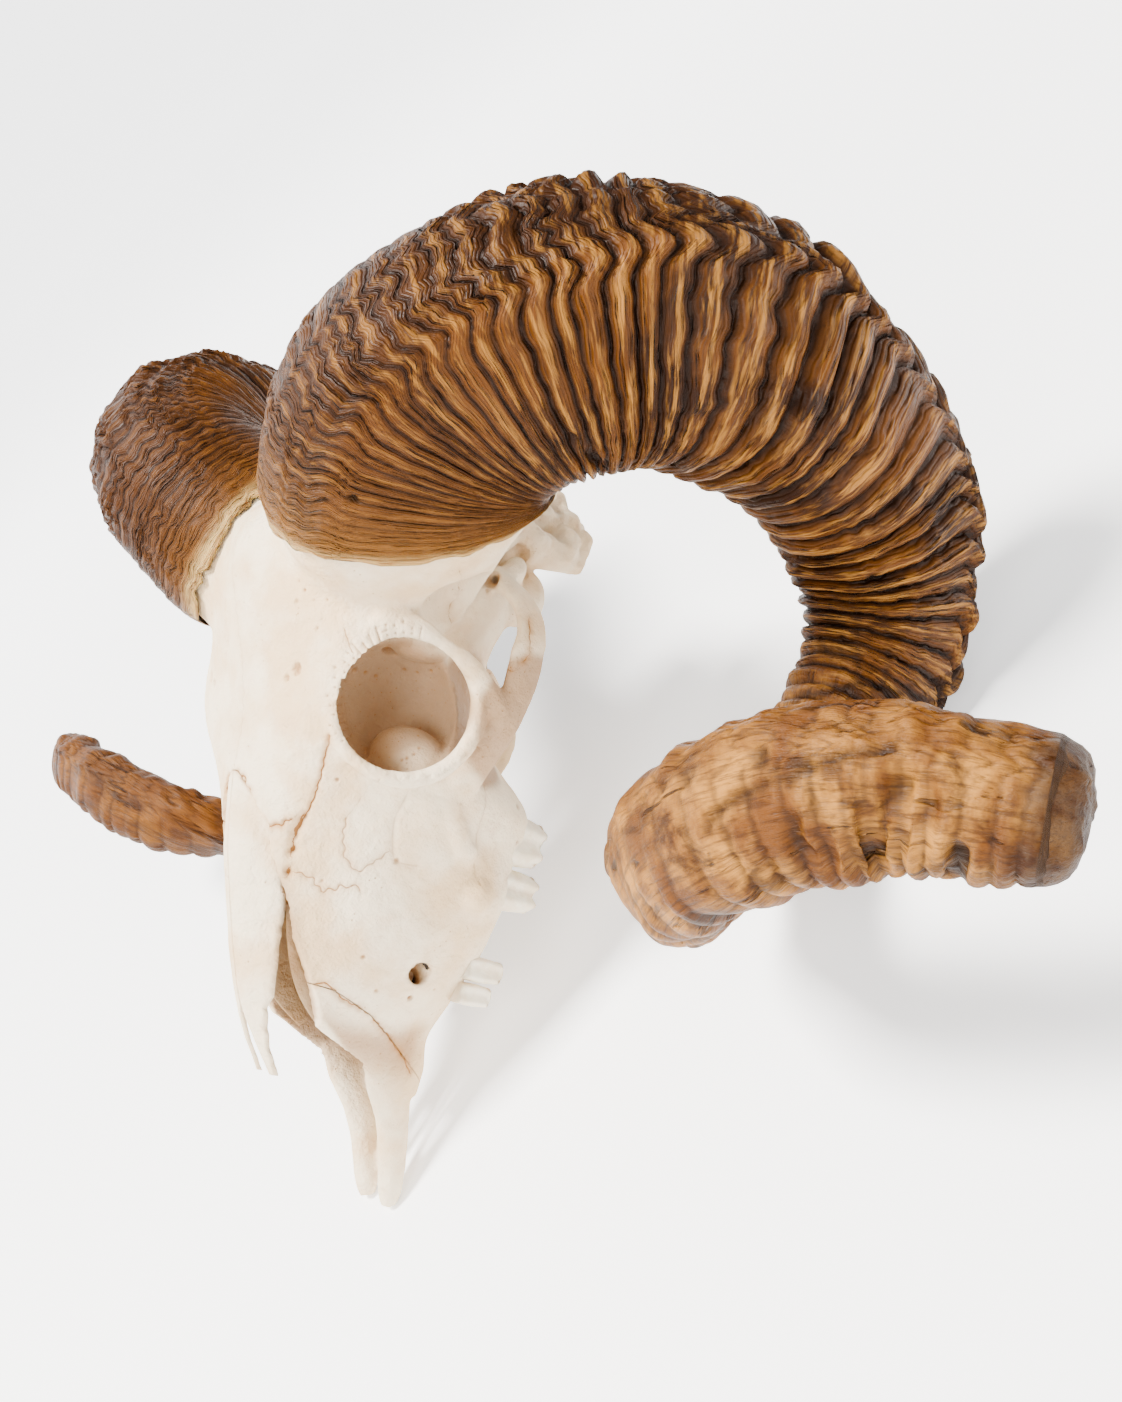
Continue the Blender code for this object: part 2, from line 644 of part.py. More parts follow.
def build_skull():
    """The bone without its nose bones, as one fused mesh with the front bones still on it."""
    work = new_collection("bone_work")
    forms = [skull_hull("skull", work), horn_boss("boss_left", work, "left"),
             flipped(horn_boss("boss_right", work, "right"))]
    left = side_forms(work)
    forms += left + [mirrored(form, work) for form in left]
    whole = join_all("whole", work, forms)
    fuse(whole, BONE_STEP, 10 ** 9)
    cavities = cavity_forms(work)
    cut(whole, cavities)
    rods = premaxilla_side(work) + [ball("tear_bone", work, (36, 158, 66), (10, 11, 9))]
    rods += [mirrored(rod, work) for rod in rods]
    pieces = [whole] + rods
    whole = join_all("whole", work, pieces)
    fuse(whole, BONE_STEP * 0.75, BONE_FACES)
    for form in cavities:
        bpy.data.objects.remove(form, do_unlink=True)
    return whole, work


def main():
    """Build every node and lay the skull down."""
    clear_scene()
    model = new_collection("ram_skull")
    cutters = new_collection("cutters")
    bone = material("bone", BONE_COLOUR, 0.65)
    horn = material("horn", HORN_COLOUR, 0.5)

    whole, work = build_skull()
    nodes = {}
    seam_front = FRONT_SEAM + [(-20, 0), (-20, 75)]
    seam_back = [(y + GAP, z) for y, z in FRONT_SEAM] + [(-20, 0), (-20, 75)]
    seam_front = [(y, z - 30.0 if z == 0 else z) for y, z in seam_front]
    seam_back = [(y, z - 30.0 if z == 0 else z) for y, z in seam_back]
    for name, side in (("premaxilla_left", 1), ("premaxilla_right", -1)):
        node = whole.copy()
        node.data = whole.data.copy()
        model.objects.link(node)
        region = prism(name + "_region", cutters, seam_front, 30.0)
        for vert in region.data.vertices:
            if vert.co.x * side < 0.0:
                vert.co.x = side * GAP / 2.0
        cut(node, [region], "INTERSECT")
        keep_largest(node)
        node.name = name
        nodes[name] = node
    cranium = whole
    work.objects.unlink(cranium)
    model.objects.link(cranium)
    cranium.name = "cranium"
    front = prism("front_room", cutters, seam_back, 60.0)
    rooms = [horn_room("room_left", cutters, "left"), flipped(horn_room("room_right", cutters, "right"))]
    cut(cranium, [front, *rooms, nose_room("nose_room", cutters)])
    teeth = tooth_row(cutters, 1) + tooth_row(cutters, -1)
    cut(cranium, teeth, "UNION")
    keep_largest(cranium)
    nodes["cranium"] = cranium
    for tooth in teeth:
        bpy.data.objects.remove(tooth, do_unlink=True)

    nodes["nasal_left"] = plate("nasal_left", model, nasal_grid(0.0), 0.0, NASAL_THICK)
    nodes["nasal_right"] = mirrored(nodes["nasal_left"], model)
    nodes["horn_left"] = build_horn("horn_left", model, "left")
    nodes["horn_right"] = flipped(build_horn("horn_right", model, "right"))

    rest = bpy.data.objects.new("rest", None)
    model.objects.link(rest)
    rest.rotation_euler = [math.radians(a) for a in REST_TURN]
    rest.scale = (MM, MM, MM)
    for name, node in nodes.items():
        node.name = name
        keep_largest(node)
        node.data.materials.clear()
        node.data.materials.append(horn if name.startswith("horn") else bone)
        node.parent = rest
    for thing in cutters.objects:
        hide_cutter(thing)
        thing.parent = rest
    for thing in list(work.objects):
        bpy.data.objects.remove(thing, do_unlink=True)
    set_down(rest, list(nodes.values()))


main()
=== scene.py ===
"""A ram's skull with its two curled horns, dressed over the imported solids.

The pieces are modelled in the skull's own axes, in millimetres: +X to the animal's
left, +Y towards the back of the head and +Z up. SkullPlace carries them into the row.
"""

import itertools
import logging
import math
from dataclasses import dataclass, field
from enum import Enum
from typing import Sequence

import bmesh
import bpy
import numpy as np
from mathutils import Euler, Matrix, Vector
from mathutils.bvhtree import BVHTree
from mathutils.kdtree import KDTree


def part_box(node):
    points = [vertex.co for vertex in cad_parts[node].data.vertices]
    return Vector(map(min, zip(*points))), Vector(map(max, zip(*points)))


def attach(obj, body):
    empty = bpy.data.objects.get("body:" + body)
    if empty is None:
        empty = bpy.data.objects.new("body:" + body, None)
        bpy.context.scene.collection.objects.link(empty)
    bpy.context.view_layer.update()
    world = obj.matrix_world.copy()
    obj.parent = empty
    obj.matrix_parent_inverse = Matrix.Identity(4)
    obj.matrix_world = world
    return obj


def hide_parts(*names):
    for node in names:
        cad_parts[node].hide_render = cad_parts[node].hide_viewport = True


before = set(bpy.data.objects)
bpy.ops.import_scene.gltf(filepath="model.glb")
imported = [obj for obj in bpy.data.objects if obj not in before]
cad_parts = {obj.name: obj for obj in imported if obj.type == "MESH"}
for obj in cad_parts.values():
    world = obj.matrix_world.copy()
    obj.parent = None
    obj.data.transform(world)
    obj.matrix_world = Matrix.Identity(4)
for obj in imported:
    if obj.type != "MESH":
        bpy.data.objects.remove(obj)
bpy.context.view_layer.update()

LOG = logging.getLogger("ram_skull")
MM = 0.001
GAP = 0.35  # clear space kept between bones that touch, in mm

Point = Sequence[float]
Pixel = tuple[float, float]


class Side(Enum):
    """The animal's own left and right."""

    LEFT = 1
    RIGHT = -1


@dataclass(frozen=True)
class SkullPlace:
    """Where the skull's own axes lie in the row.

    The turn is the one that lays the skull on its two curls and the tips of its front bones.
    """

    turn: tuple[float, float, float] = (24.2, -1.1, 0.0)
    shift: tuple[float, float, float] = (0.0, 0.0, 0.0)

    @property
    def rotation(self) -> Matrix:
        """The turn alone."""
        return Euler([math.radians(a) for a in self.turn]).to_matrix().to_4x4()

    @property
    def matrix(self) -> Matrix:
        """From millimetres in the skull's axes to metres in the row."""
        return Matrix.Translation(self.shift) @ self.rotation @ Matrix.Scale(MM, 4)

    @classmethod
    def under_node(cls, node: str, points: np.ndarray) -> "SkullPlace":
        """Find the shift that lays known points of a node into its box in the frame.

        Args:
            node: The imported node's name.
            points: The node's points in the skull's axes, in mm.

        Returns:
            The place of the skull in the row.
        """
        turned = np.array([(cls().matrix @ Vector(p))[:] for p in points])
        low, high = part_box(node)
        own = (turned.min(0) + turned.max(0)) / 2.0
        middle = (np.array(low) + np.array(high)) / 2.0
        return cls(shift=tuple(float(v) for v in middle - own))


@dataclass(frozen=True)
class StudioCamera:
    """The camera of the photograph, placed in the skull's axes."""

    place: tuple[float, float, float] = (429.9, 92.3, 313.4)
    angles: tuple[float, float, float] = (25.148, 48.068, 17.872)
    focal_px: float = 1391.8
    width: int = 1122
    height: int = 1402
    sensor: float = 36.0

    @property
    def turn(self) -> Matrix:
        """The camera's turn in the skull's axes."""
        return Euler([math.radians(a) for a in self.angles]).to_matrix().to_4x4()

    def ray(self, pixel: Pixel) -> tuple[Vector, Vector]:
        """The line of sight through a pixel of the photograph.

        Args:
            pixel: Column and row in the 1122 by 1402 frame.

        Returns:
            The camera's place and the direction, in the skull's axes.
        """
        away = Vector((pixel[0] - self.width / 2.0, self.height / 2.0 - pixel[1], -self.focal_px))
        return Vector(self.place), (self.turn.to_3x3() @ away).normalized()

    def build(self, skull: SkullPlace) -> bpy.types.Object:
        """Make the scene's camera.

        Args:
            skull: Where the skull lies in the row.

        Returns:
            The camera.
        """
        data = bpy.data.cameras.new("studio_camera")
        data.sensor_fit = "VERTICAL"
        data.sensor_height = self.sensor
        data.lens = self.sensor * self.focal_px / self.height
        data.clip_start = 0.01
        data.clip_end = 50.0
        camera = put("studio_camera", data)
        spot = Matrix.Translation(skull.shift) @ skull.rotation
        camera.matrix_world = spot @ Matrix.Translation(Vector(self.place) * MM) @ self.turn
        bpy.context.scene.camera = camera
        return camera


def value_noise(points: np.ndarray, size: float, seed: int) -> np.ndarray:
    """Smooth random heights.

    Args:
        points: Places in mm, with the three axes last.
        size: Width of one bump in mm.
        seed: Which pattern.

    Returns:
        Heights between -1 and 1.
    """
    table = np.random.default_rng(seed).random((32, 32, 32)) * 2.0 - 1.0
    place = points / size
    cell = np.floor(place).astype(int)
    part = place - cell
    part = part * part * (3.0 - 2.0 * part)
    total = np.zeros(points.shape[:-1])
    for corner in itertools.product((0, 1), repeat=3):
        weight = np.prod(np.where(corner, part, 1.0 - part), axis=-1)
        at = (cell + corner) % 32
        total += weight * table[at[..., 0], at[..., 1], at[..., 2]]
    return total


def smooth_step(low: float, high: float, value: np.ndarray) -> np.ndarray:
    """Rise from 0 at low to 1 at high."""
    share = np.clip((value - low) / (high - low), 0.0, 1.0)
    return share * share * (3.0 - 2.0 * share)


def smooth_line(points: Sequence, shares: Sequence[float]) -> np.ndarray:
    """Follow a natural cubic spline.

    Args:
        points: The knots, which may themselves be lists of points.
        shares: Where to read it, from 0 at the first knot to 1 at the last.

    Returns:
        The points read.
    """
    given = np.array(points, float)
    n = len(given)
    knots = given.reshape(n, -1)
    system = np.zeros((n, n))
    right = np.zeros_like(knots)
    system[0, 0] = system[-1, -1] = 1.0
    for i in range(1, n - 1):
        system[i, i - 1:i + 2] = (1.0, 4.0, 1.0)
        right[i] = 6.0 * (knots[i + 1] - 2.0 * knots[i] + knots[i - 1])
    bend = np.linalg.solve(system, right)
    place = np.asarray(shares, float) * (n - 1)
    cell = np.clip(np.floor(place).astype(int), 0, n - 2)
    u = (place - cell)[:, None]
    v = 1.0 - u
    found = knots[cell] * v + knots[cell + 1] * u
    found += ((v ** 3 - v) * bend[cell] + (u ** 3 - u) * bend[cell + 1]) / 6.0
    return found.reshape((len(place),) + given.shape[1:])


def put(name: str, data: bpy.types.ID) -> bpy.types.Object:
    """Put a mesh, lamp or camera into the scene."""
    made = bpy.data.objects.new(name, data)
    bpy.context.scene.collection.objects.link(made)
    return made


def mesh_object(name: str, points: np.ndarray, faces: Sequence) -> bpy.types.Object:
    """Make a smooth-shaded object from points and faces."""
    mesh = bpy.data.meshes.new(name)
    mesh.from_pydata(np.asarray(points, float).tolist(), [], [tuple(int(i) for i in f) for f in faces])
    mesh.polygons.foreach_set("use_smooth", [True] * len(mesh.polygons))
    mesh.update()
    return put(name, mesh)


def outward(thing: bpy.types.Object) -> bpy.types.Object:
    """Turn all faces of a closed form outwards."""
    work = bmesh.new()
    work.from_mesh(thing.data)
    bmesh.ops.recalc_face_normals(work, faces=work.faces)
    work.to_mesh(thing.data)
    work.free()
    return thing


def ring_faces(rings: int, around: int, closed: bool = False) -> list[tuple[int, ...]]:
    """Faces that join rings of points, each to the next and, where closed, the last to the first."""
    faces = []
    for i in range(rings if closed else rings - 1):
        near, far = i * around, (i + 1) % rings * around
        for k in range(around):
            j = (k + 1) % around
            faces.append((near + k, near + j, far + j, far + k))
    return faces


def loft(name: str, rings: Sequence) -> bpy.types.Object:
    """Skin a list of closed rings, with a flat face at each end.

    Args:
        name: Name of the object.
        rings: Rings with the same number of points.

    Returns:
        The closed form.
    """
    count = len(rings[0])
    points = [p for ring in rings for p in ring]
    faces = ring_faces(len(rings), count)
    for first in (0, (len(rings) - 1) * count):
        faces.append(tuple(range(first, first + count)))
    return outward(mesh_object(name, np.array([tuple(p) for p in points]), faces))


def sweep(name: str, path: Sequence[Point], sizes: Sequence[Point], up: Point,
          corners: int = 20, steps: int = 32) -> bpy.types.Object:
    """Draw a limb of oval section along a smooth path.

    Args:
        name: Name of the object.
        path: Knots of the centre line.
        sizes: Half width and half height at each knot.
        up: Direction that the height is measured in.
        corners: Points round the section.
        steps: Sections along the path.

    Returns:
        The closed form.
    """
    shares = np.linspace(0.0, 1.0, steps)
    centres = smooth_line(path, shares)
    halves = np.maximum(smooth_line(sizes, shares), 0.15)
    rings = []
    for i in range(steps):
        along = Vector(centres[min(i + 1, steps - 1)] - centres[max(i - 1, 0)]).normalized()
        side = along.cross(Vector(up)).normalized()
        rise = side.cross(along)
        ring = []
        for k in range(corners):
            turn = 2.0 * math.pi * k / corners
            offset = side * (halves[i][0] * math.cos(turn)) + rise * (halves[i][1] * math.sin(turn))
            ring.append(Vector(centres[i]) + offset)
        rings.append(ring)
    return loft(name, rings)


def ball(name: str, centre: Point, radii: Point, turn: Point = (0, 0, 0)) -> bpy.types.Object:
    """An ellipsoid, turned by degrees about X, Y and Z."""
    work = bmesh.new()
    bmesh.ops.create_uvsphere(work, u_segments=32, v_segments=16, radius=1.0)
    angles = Euler([math.radians(a) for a in turn])
    work.transform(Matrix.Translation(centre) @ angles.to_matrix().to_4x4() @ Matrix.Diagonal((*radii, 1.0)))
    mesh = bpy.data.meshes.new(name)
    work.to_mesh(mesh)
    work.free()
    return put(name, mesh)


def prism(name: str, outline: Sequence[Pixel], near: float, far: float) -> bpy.types.Object:
    """A side-view (Y, Z) outline drawn through the skull between two values of X."""
    return loft(name, [[(x, y, z) for y, z in outline] for x in (near, far)])


def plate(name: str, rows: np.ndarray, above: float, below: float) -> bpy.types.Object:
    """A closed plate that reaches above and below a grid of points.

    Args:
        name: Name of the object.
        rows: Grid of points, rows first.
        above: Reach over the grid in mm.
        below: Reach under the grid in mm.

    Returns:
        The closed form.
    """
    n, m = rows.shape[:2]
    top = rows.reshape(-1, 3) + (0.0, 0.0, above)
    low = rows.reshape(-1, 3) - (0.0, 0.0, below)
    size = n * m
    faces = []
    for i in range(n - 1):
        for k in range(m - 1):
            a = i * m + k
            faces.append((a, a + 1, a + m + 1, a + m))
            faces.append((size + a, size + a + m, size + a + m + 1, size + a + 1))
    edge = [i * m for i in range(n)] + [(n - 1) * m + k for k in range(1, m)]
    edge += [i * m + m - 1 for i in range(n - 2, -1, -1)] + list(range(m - 2, 0, -1))
    for a, b in zip(edge, edge[1:] + edge[:1]):
        faces.append((a, b, size + b, size + a))
    return outward(mesh_object(name, np.vstack([top, low]), faces))


def mirror(thing: bpy.types.Object) -> bpy.types.Object:
    """Take a form to the other side of the middle plane."""
    thing.data.transform(Matrix.Diagonal((-1.0, 1.0, 1.0, 1.0)))
    thing.data.flip_normals()
    return thing


def mirrored(thing: bpy.types.Object) -> bpy.types.Object:
    """A copy of a form on the other side of the middle plane."""
    twin = thing.copy()
    twin.data = thing.data.copy()
    bpy.context.scene.collection.objects.link(twin)
    return mirror(twin)


def bake_modifiers(thing: bpy.types.Object) -> None:
    """Turn what the modifiers make into the object's own mesh."""
    bpy.context.view_layer.update()
    seen = thing.evaluated_get(bpy.context.evaluated_depsgraph_get())
    mesh = bpy.data.meshes.new_from_object(seen)
    thing.modifiers.clear()
    thing.data = mesh


def join_all(name: str, things: Sequence[bpy.types.Object]) -> bpy.types.Object:
    """Put several closed forms into one mesh."""
    work = bmesh.new()
    for thing in things:
        work.from_mesh(thing.data)
        bpy.data.objects.remove(thing, do_unlink=True)
    mesh = bpy.data.meshes.new(name)
    work.to_mesh(mesh)
    work.free()
    return put(name, mesh)


def fuse(thing: bpy.types.Object, step: float, soft: int) -> None:
    """Melt the overlapping forms of one mesh together.

    Args:
        thing: The object to fuse.
        step: Size of the new faces in mm.
        soft: How many times the new faces are smoothed.
    """
    grid = thing.modifiers.new("fuse", "REMESH")
    grid.mode = "VOXEL"
    grid.voxel_size = step
    soften = thing.modifiers.new("soften", "SMOOTH")
    soften.factor = 0.5
    soften.iterations = soft
    bake_modifiers(thing)
    thing.data.polygons.foreach_set("use_smooth", [True] * len(thing.data.polygons))


def cut(thing: bpy.types.Object, others: Sequence[bpy.types.Object], operation: str = "DIFFERENCE") -> None:
    """Take each of the other forms from an object, or keep only what lies in them."""
    for other in others:
        step = thing.modifiers.new("cut", "BOOLEAN")
        step.operation = operation
        step.object = other
        step.solver = "MANIFOLD"
        bake_modifiers(thing)


def drop(things: Sequence[bpy.types.Object]) -> None:
    """Remove working forms from the file."""
    for thing in things:
        bpy.data.objects.remove(thing, do_unlink=True)


def keep_largest(thing: bpy.types.Object) -> None:
    """Keep only the largest connected surface."""
    work = bmesh.new()
    work.from_mesh(thing.data)
    left = set(work.verts)
    groups = []
    while left:
        start = left.pop()
        found = [start]
        edge = [start]
        while edge:
            for link in edge.pop().link_edges:
                for other in link.verts:
                    if other in left:
                        left.discard(other)
                        found.append(other)
                        edge.append(other)
        groups.append(found)
    groups.sort(key=len)
    bmesh.ops.delete(work, geom=[v for found in groups[:-1] for v in found], context="VERTS")
    work.to_mesh(thing.data)
    work.free()


def points_of(mesh: bpy.types.Mesh) -> np.ndarray:
    """The mesh's points as an array."""
    flat = np.empty(len(mesh.vertices) * 3, np.float32)
    mesh.vertices.foreach_get("co", flat)
    return flat.reshape(-1, 3).astype(float)


def normals_of(mesh: bpy.types.Mesh) -> np.ndarray:
    """The mesh's point normals as an array."""
    flat = np.empty(len(mesh.vertices) * 3, np.float32)
    mesh.vertex_normals.foreach_get("vector", flat)
    return flat.reshape(-1, 3).astype(float)


def set_points(mesh: bpy.types.Mesh, points: np.ndarray) -> None:
    """Move the mesh's points."""
    mesh.vertices.foreach_set("co", points.astype(np.float32).ravel())
    mesh.update()


def set_value(mesh: bpy.types.Mesh, name: str, values: np.ndarray) -> None:
    """Keep a number at each point, for the finish to read."""
    found = mesh.attributes.get(name)
    if found is None:
        found = mesh.attributes.new(name, "FLOAT", "POINT")
    found.data.foreach_set("value", values.astype(np.float32))


def set_vector(mesh: bpy.types.Mesh, name: str, values: np.ndarray) -> None:
    """Keep a vector at each point, for the finish to read."""
    made = mesh.attributes.new(name, "FLOAT_VECTOR", "POINT")
    made.data.foreach_set("vector", values.astype(np.float32).ravel())


@dataclass(frozen=True)
class Seam:
    """A seam, crack or furrow, drawn through pixels of the photograph."""

    pixels: tuple[Pixel, ...]
    width: float = 0.35
    depth: float = 0.3
    wander: float = 0.0
    stain_and_shade: float = 0.6
    both_sides: bool = True
    line: float = 0.0


@dataclass(frozen=True)
class Pit:
    """A hole or dent round a pixel of the photograph."""

    pixel: Pixel
    radius: float
    depth: float
    stain_and_shade: float = 0.8
    both_sides: bool = True
    sharp: float = 4.0


@dataclass
class Chisel:
    """Cuts seams and pits into a surface, and keeps marks of them for its finish."""

    mesh: bpy.types.Mesh
    camera: StudioCamera
    seed: int = 5
    tree: BVHTree = field(init=False)
    points: np.ndarray = field(init=False)
    normals: np.ndarray = field(init=False)
    stain_and_shade: np.ndarray = field(init=False)
    seam: np.ndarray = field(init=False)
    near: np.ndarray = field(init=False)
    width: np.ndarray = field(init=False)

    def __post_init__(self) -> None:
        """Read the mesh."""
        self.read()

    def read(self) -> None:
        """Read the mesh again after its faces have changed."""
        self.tree = BVHTree.FromPolygons(
            [v.co for v in self.mesh.vertices], [p.vertices[:] for p in self.mesh.polygons])
        self.points = points_of(self.mesh)
        self.normals = normals_of(self.mesh)
        count = len(self.points)
        self.stain_and_shade = np.zeros(count)
        self.seam = np.full(count, 4.0)
        self.near = np.zeros(count)
        self.width = np.zeros(count)

    def find(self, pixel: Pixel) -> Vector | None:
        """The point of the surface seen at a pixel of the photograph."""
        start, away = self.camera.ray(pixel)
        return self.tree.ray_cast(start, away)[0]

    def trace(self, seam: Seam) -> np.ndarray:
        """Lay a seam on the surface, with the zigzag that grown seams have.

        Args:
            seam: The seam to lay.

        Returns:
            Points along it, in mm.
        """
        found = [hit for hit in map(self.find, seam.pixels) if hit is not None]
        if len(found) < 2:
            return np.zeros((0, 3))
        steps = np.linspace(0.0, 1.0, 12 * len(found))
        smooth = smooth_line([tuple(p) for p in found], steps)
        reach = np.concatenate([[0.0], np.cumsum(np.linalg.norm(np.diff(smooth, axis=0), axis=1))])
        count = max(4, int(reach[-1] / 0.7))
        line = np.array([np.interp(np.linspace(0, reach[-1], count), reach, c) for c in smooth.T]).T
        if seam.wander > 0.0:
            draw = np.random.default_rng(self.seed + int(seam.pixels[0][0] * 7 + seam.pixels[0][1]))
            along = np.gradient(line, axis=0)
            along /= np.linalg.norm(along, axis=1)[:, None] + 1e-9
            teeth = np.zeros(count)
            i = 0
            side = 1.0
            while i < count:
                step = int(draw.integers(2, 5))
                teeth[i:i + step] = side * draw.uniform(0.3, 1.0)
                side = -side
                i += step
            teeth = np.convolve(teeth, [0.25, 0.5, 0.25], "same")
            for i, tooth in enumerate(teeth):
                spot = self.tree.find_nearest(Vector(line[i]))
                across = np.cross(along[i], np.array(spot[1]))
                line[i] += across * tooth * seam.wander
        return line

    def twins(self, line: np.ndarray, both: bool) -> list[np.ndarray]:
        """The line, and its mirror image where the seam is on both sides."""
        if not both:
            return [line]
        return [line, line * (-1.0, 1.0, 1.0)]

    def refine(self, seams: Sequence[Seam], pits: Sequence[Pit], reach: float) -> None:
        """Halve the faces near the seams and pits, so that they can be cut finely."""
        spots = []
        for seam in seams:
            for line in self.twins(self.trace(seam), seam.both_sides):
                spots += list(line)
        for pit in pits:
            hit = self.find(pit.pixel)
            if hit is not None:
                for line in self.twins(np.array([hit]), pit.both_sides):
                    spots += list(line)
        if not spots:
            return
        tree = KDTree(len(spots))
        for i, spot in enumerate(spots):
            tree.insert(spot, i)
        tree.balance()
        work = bmesh.new()
        work.from_mesh(self.mesh)
        close = [f for f in work.faces if tree.find(f.calc_center_median())[2] < reach]
        edges = list({edge for face in close for edge in face.edges})
        bmesh.ops.subdivide_edges(work, edges=edges, cuts=1, use_grid_fill=True)
        work.to_mesh(self.mesh)
        work.free()
        self.mesh.update()
        self.read()

    def groove(self, seam: Seam) -> None:
        """Cut one seam."""
        for line in self.twins(self.trace(seam), seam.both_sides):
            if len(line) < 2:
                continue
            low = line.min(0) - 6.0
            high = line.max(0) + 6.0
            picked = np.where(np.all((self.points > low) & (self.points < high), axis=1))[0]
            spots = self.points[picked]
            best = np.full(len(picked), 99.0)
            signed = np.full(len(picked), 99.0)
            for a, b in zip(line, line[1:]):
                way = b - a
                length = float(way @ way) + 1e-9
                share = np.clip((spots - a) @ way / length, 0.0, 1.0)
                away = spots - (a + share[:, None] * way)
                gap = np.linalg.norm(away, axis=1)
                better = gap < best
                best[better] = gap[better]
                turn = np.einsum("ij,ij->i", np.cross(way, away), self.normals[picked])
                signed[better] = (np.sign(turn) * gap)[better]
            reach = np.exp(-(best / max(seam.width, 0.3)) ** 2)
            self.points[picked] -= self.normals[picked] * (reach * seam.depth)[:, None]
            closer = best < np.abs(self.seam[picked])
            chosen = picked[closer]
            self.seam[chosen] = np.clip(signed[closer], -4.0, 4.0)
            self.near[chosen] = np.clip(1.6 - best[closer] / 2.0, 0.0, 1.0) * min(1.0, seam.stain_and_shade * 1.6)
            self.width[chosen] = seam.line
            # Stain round the seam; the finishes also paint shade in it, nearly black where it runs deepest.
            soil_and_shade = np.exp(-(best / 1.6) ** 2) * seam.stain_and_shade
            self.stain_and_shade[picked] = np.maximum(self.stain_and_shade[picked], soil_and_shade)

    def dig(self, pit: Pit) -> None:
        """Sink one pit."""
        hit = self.find(pit.pixel)
        if hit is None:
            return
        for spot in self.twins(np.array([hit]), pit.both_sides):
            gap = np.linalg.norm(self.points - spot[0], axis=1)
            picked = np.where(gap < pit.radius * 3.0 + 1.0)[0]
            share = np.exp(-(gap[picked] / pit.radius) ** pit.sharp)
            middle = np.argmin(gap)
            self.points[picked] -= self.normals[middle] * (share * pit.depth)[:, None]
            # Stain round the pit; the finishes also paint shade in it, nearly black where it runs deepest.
            soil_and_shade = np.exp(-(gap[picked] / (pit.radius * 1.15)) ** 4) * pit.stain_and_shade
            self.stain_and_shade[picked] = np.maximum(self.stain_and_shade[picked], soil_and_shade)

    def finish(self) -> None:
        """Write the cut points and the marks back into the mesh."""
        set_points(self.mesh, self.points)
        set_value(self.mesh, "stain_and_shade", self.stain_and_shade)
        set_value(self.mesh, "seam", self.seam)
        set_value(self.mesh, "near", self.near)
        set_value(self.mesh, "line", self.width)


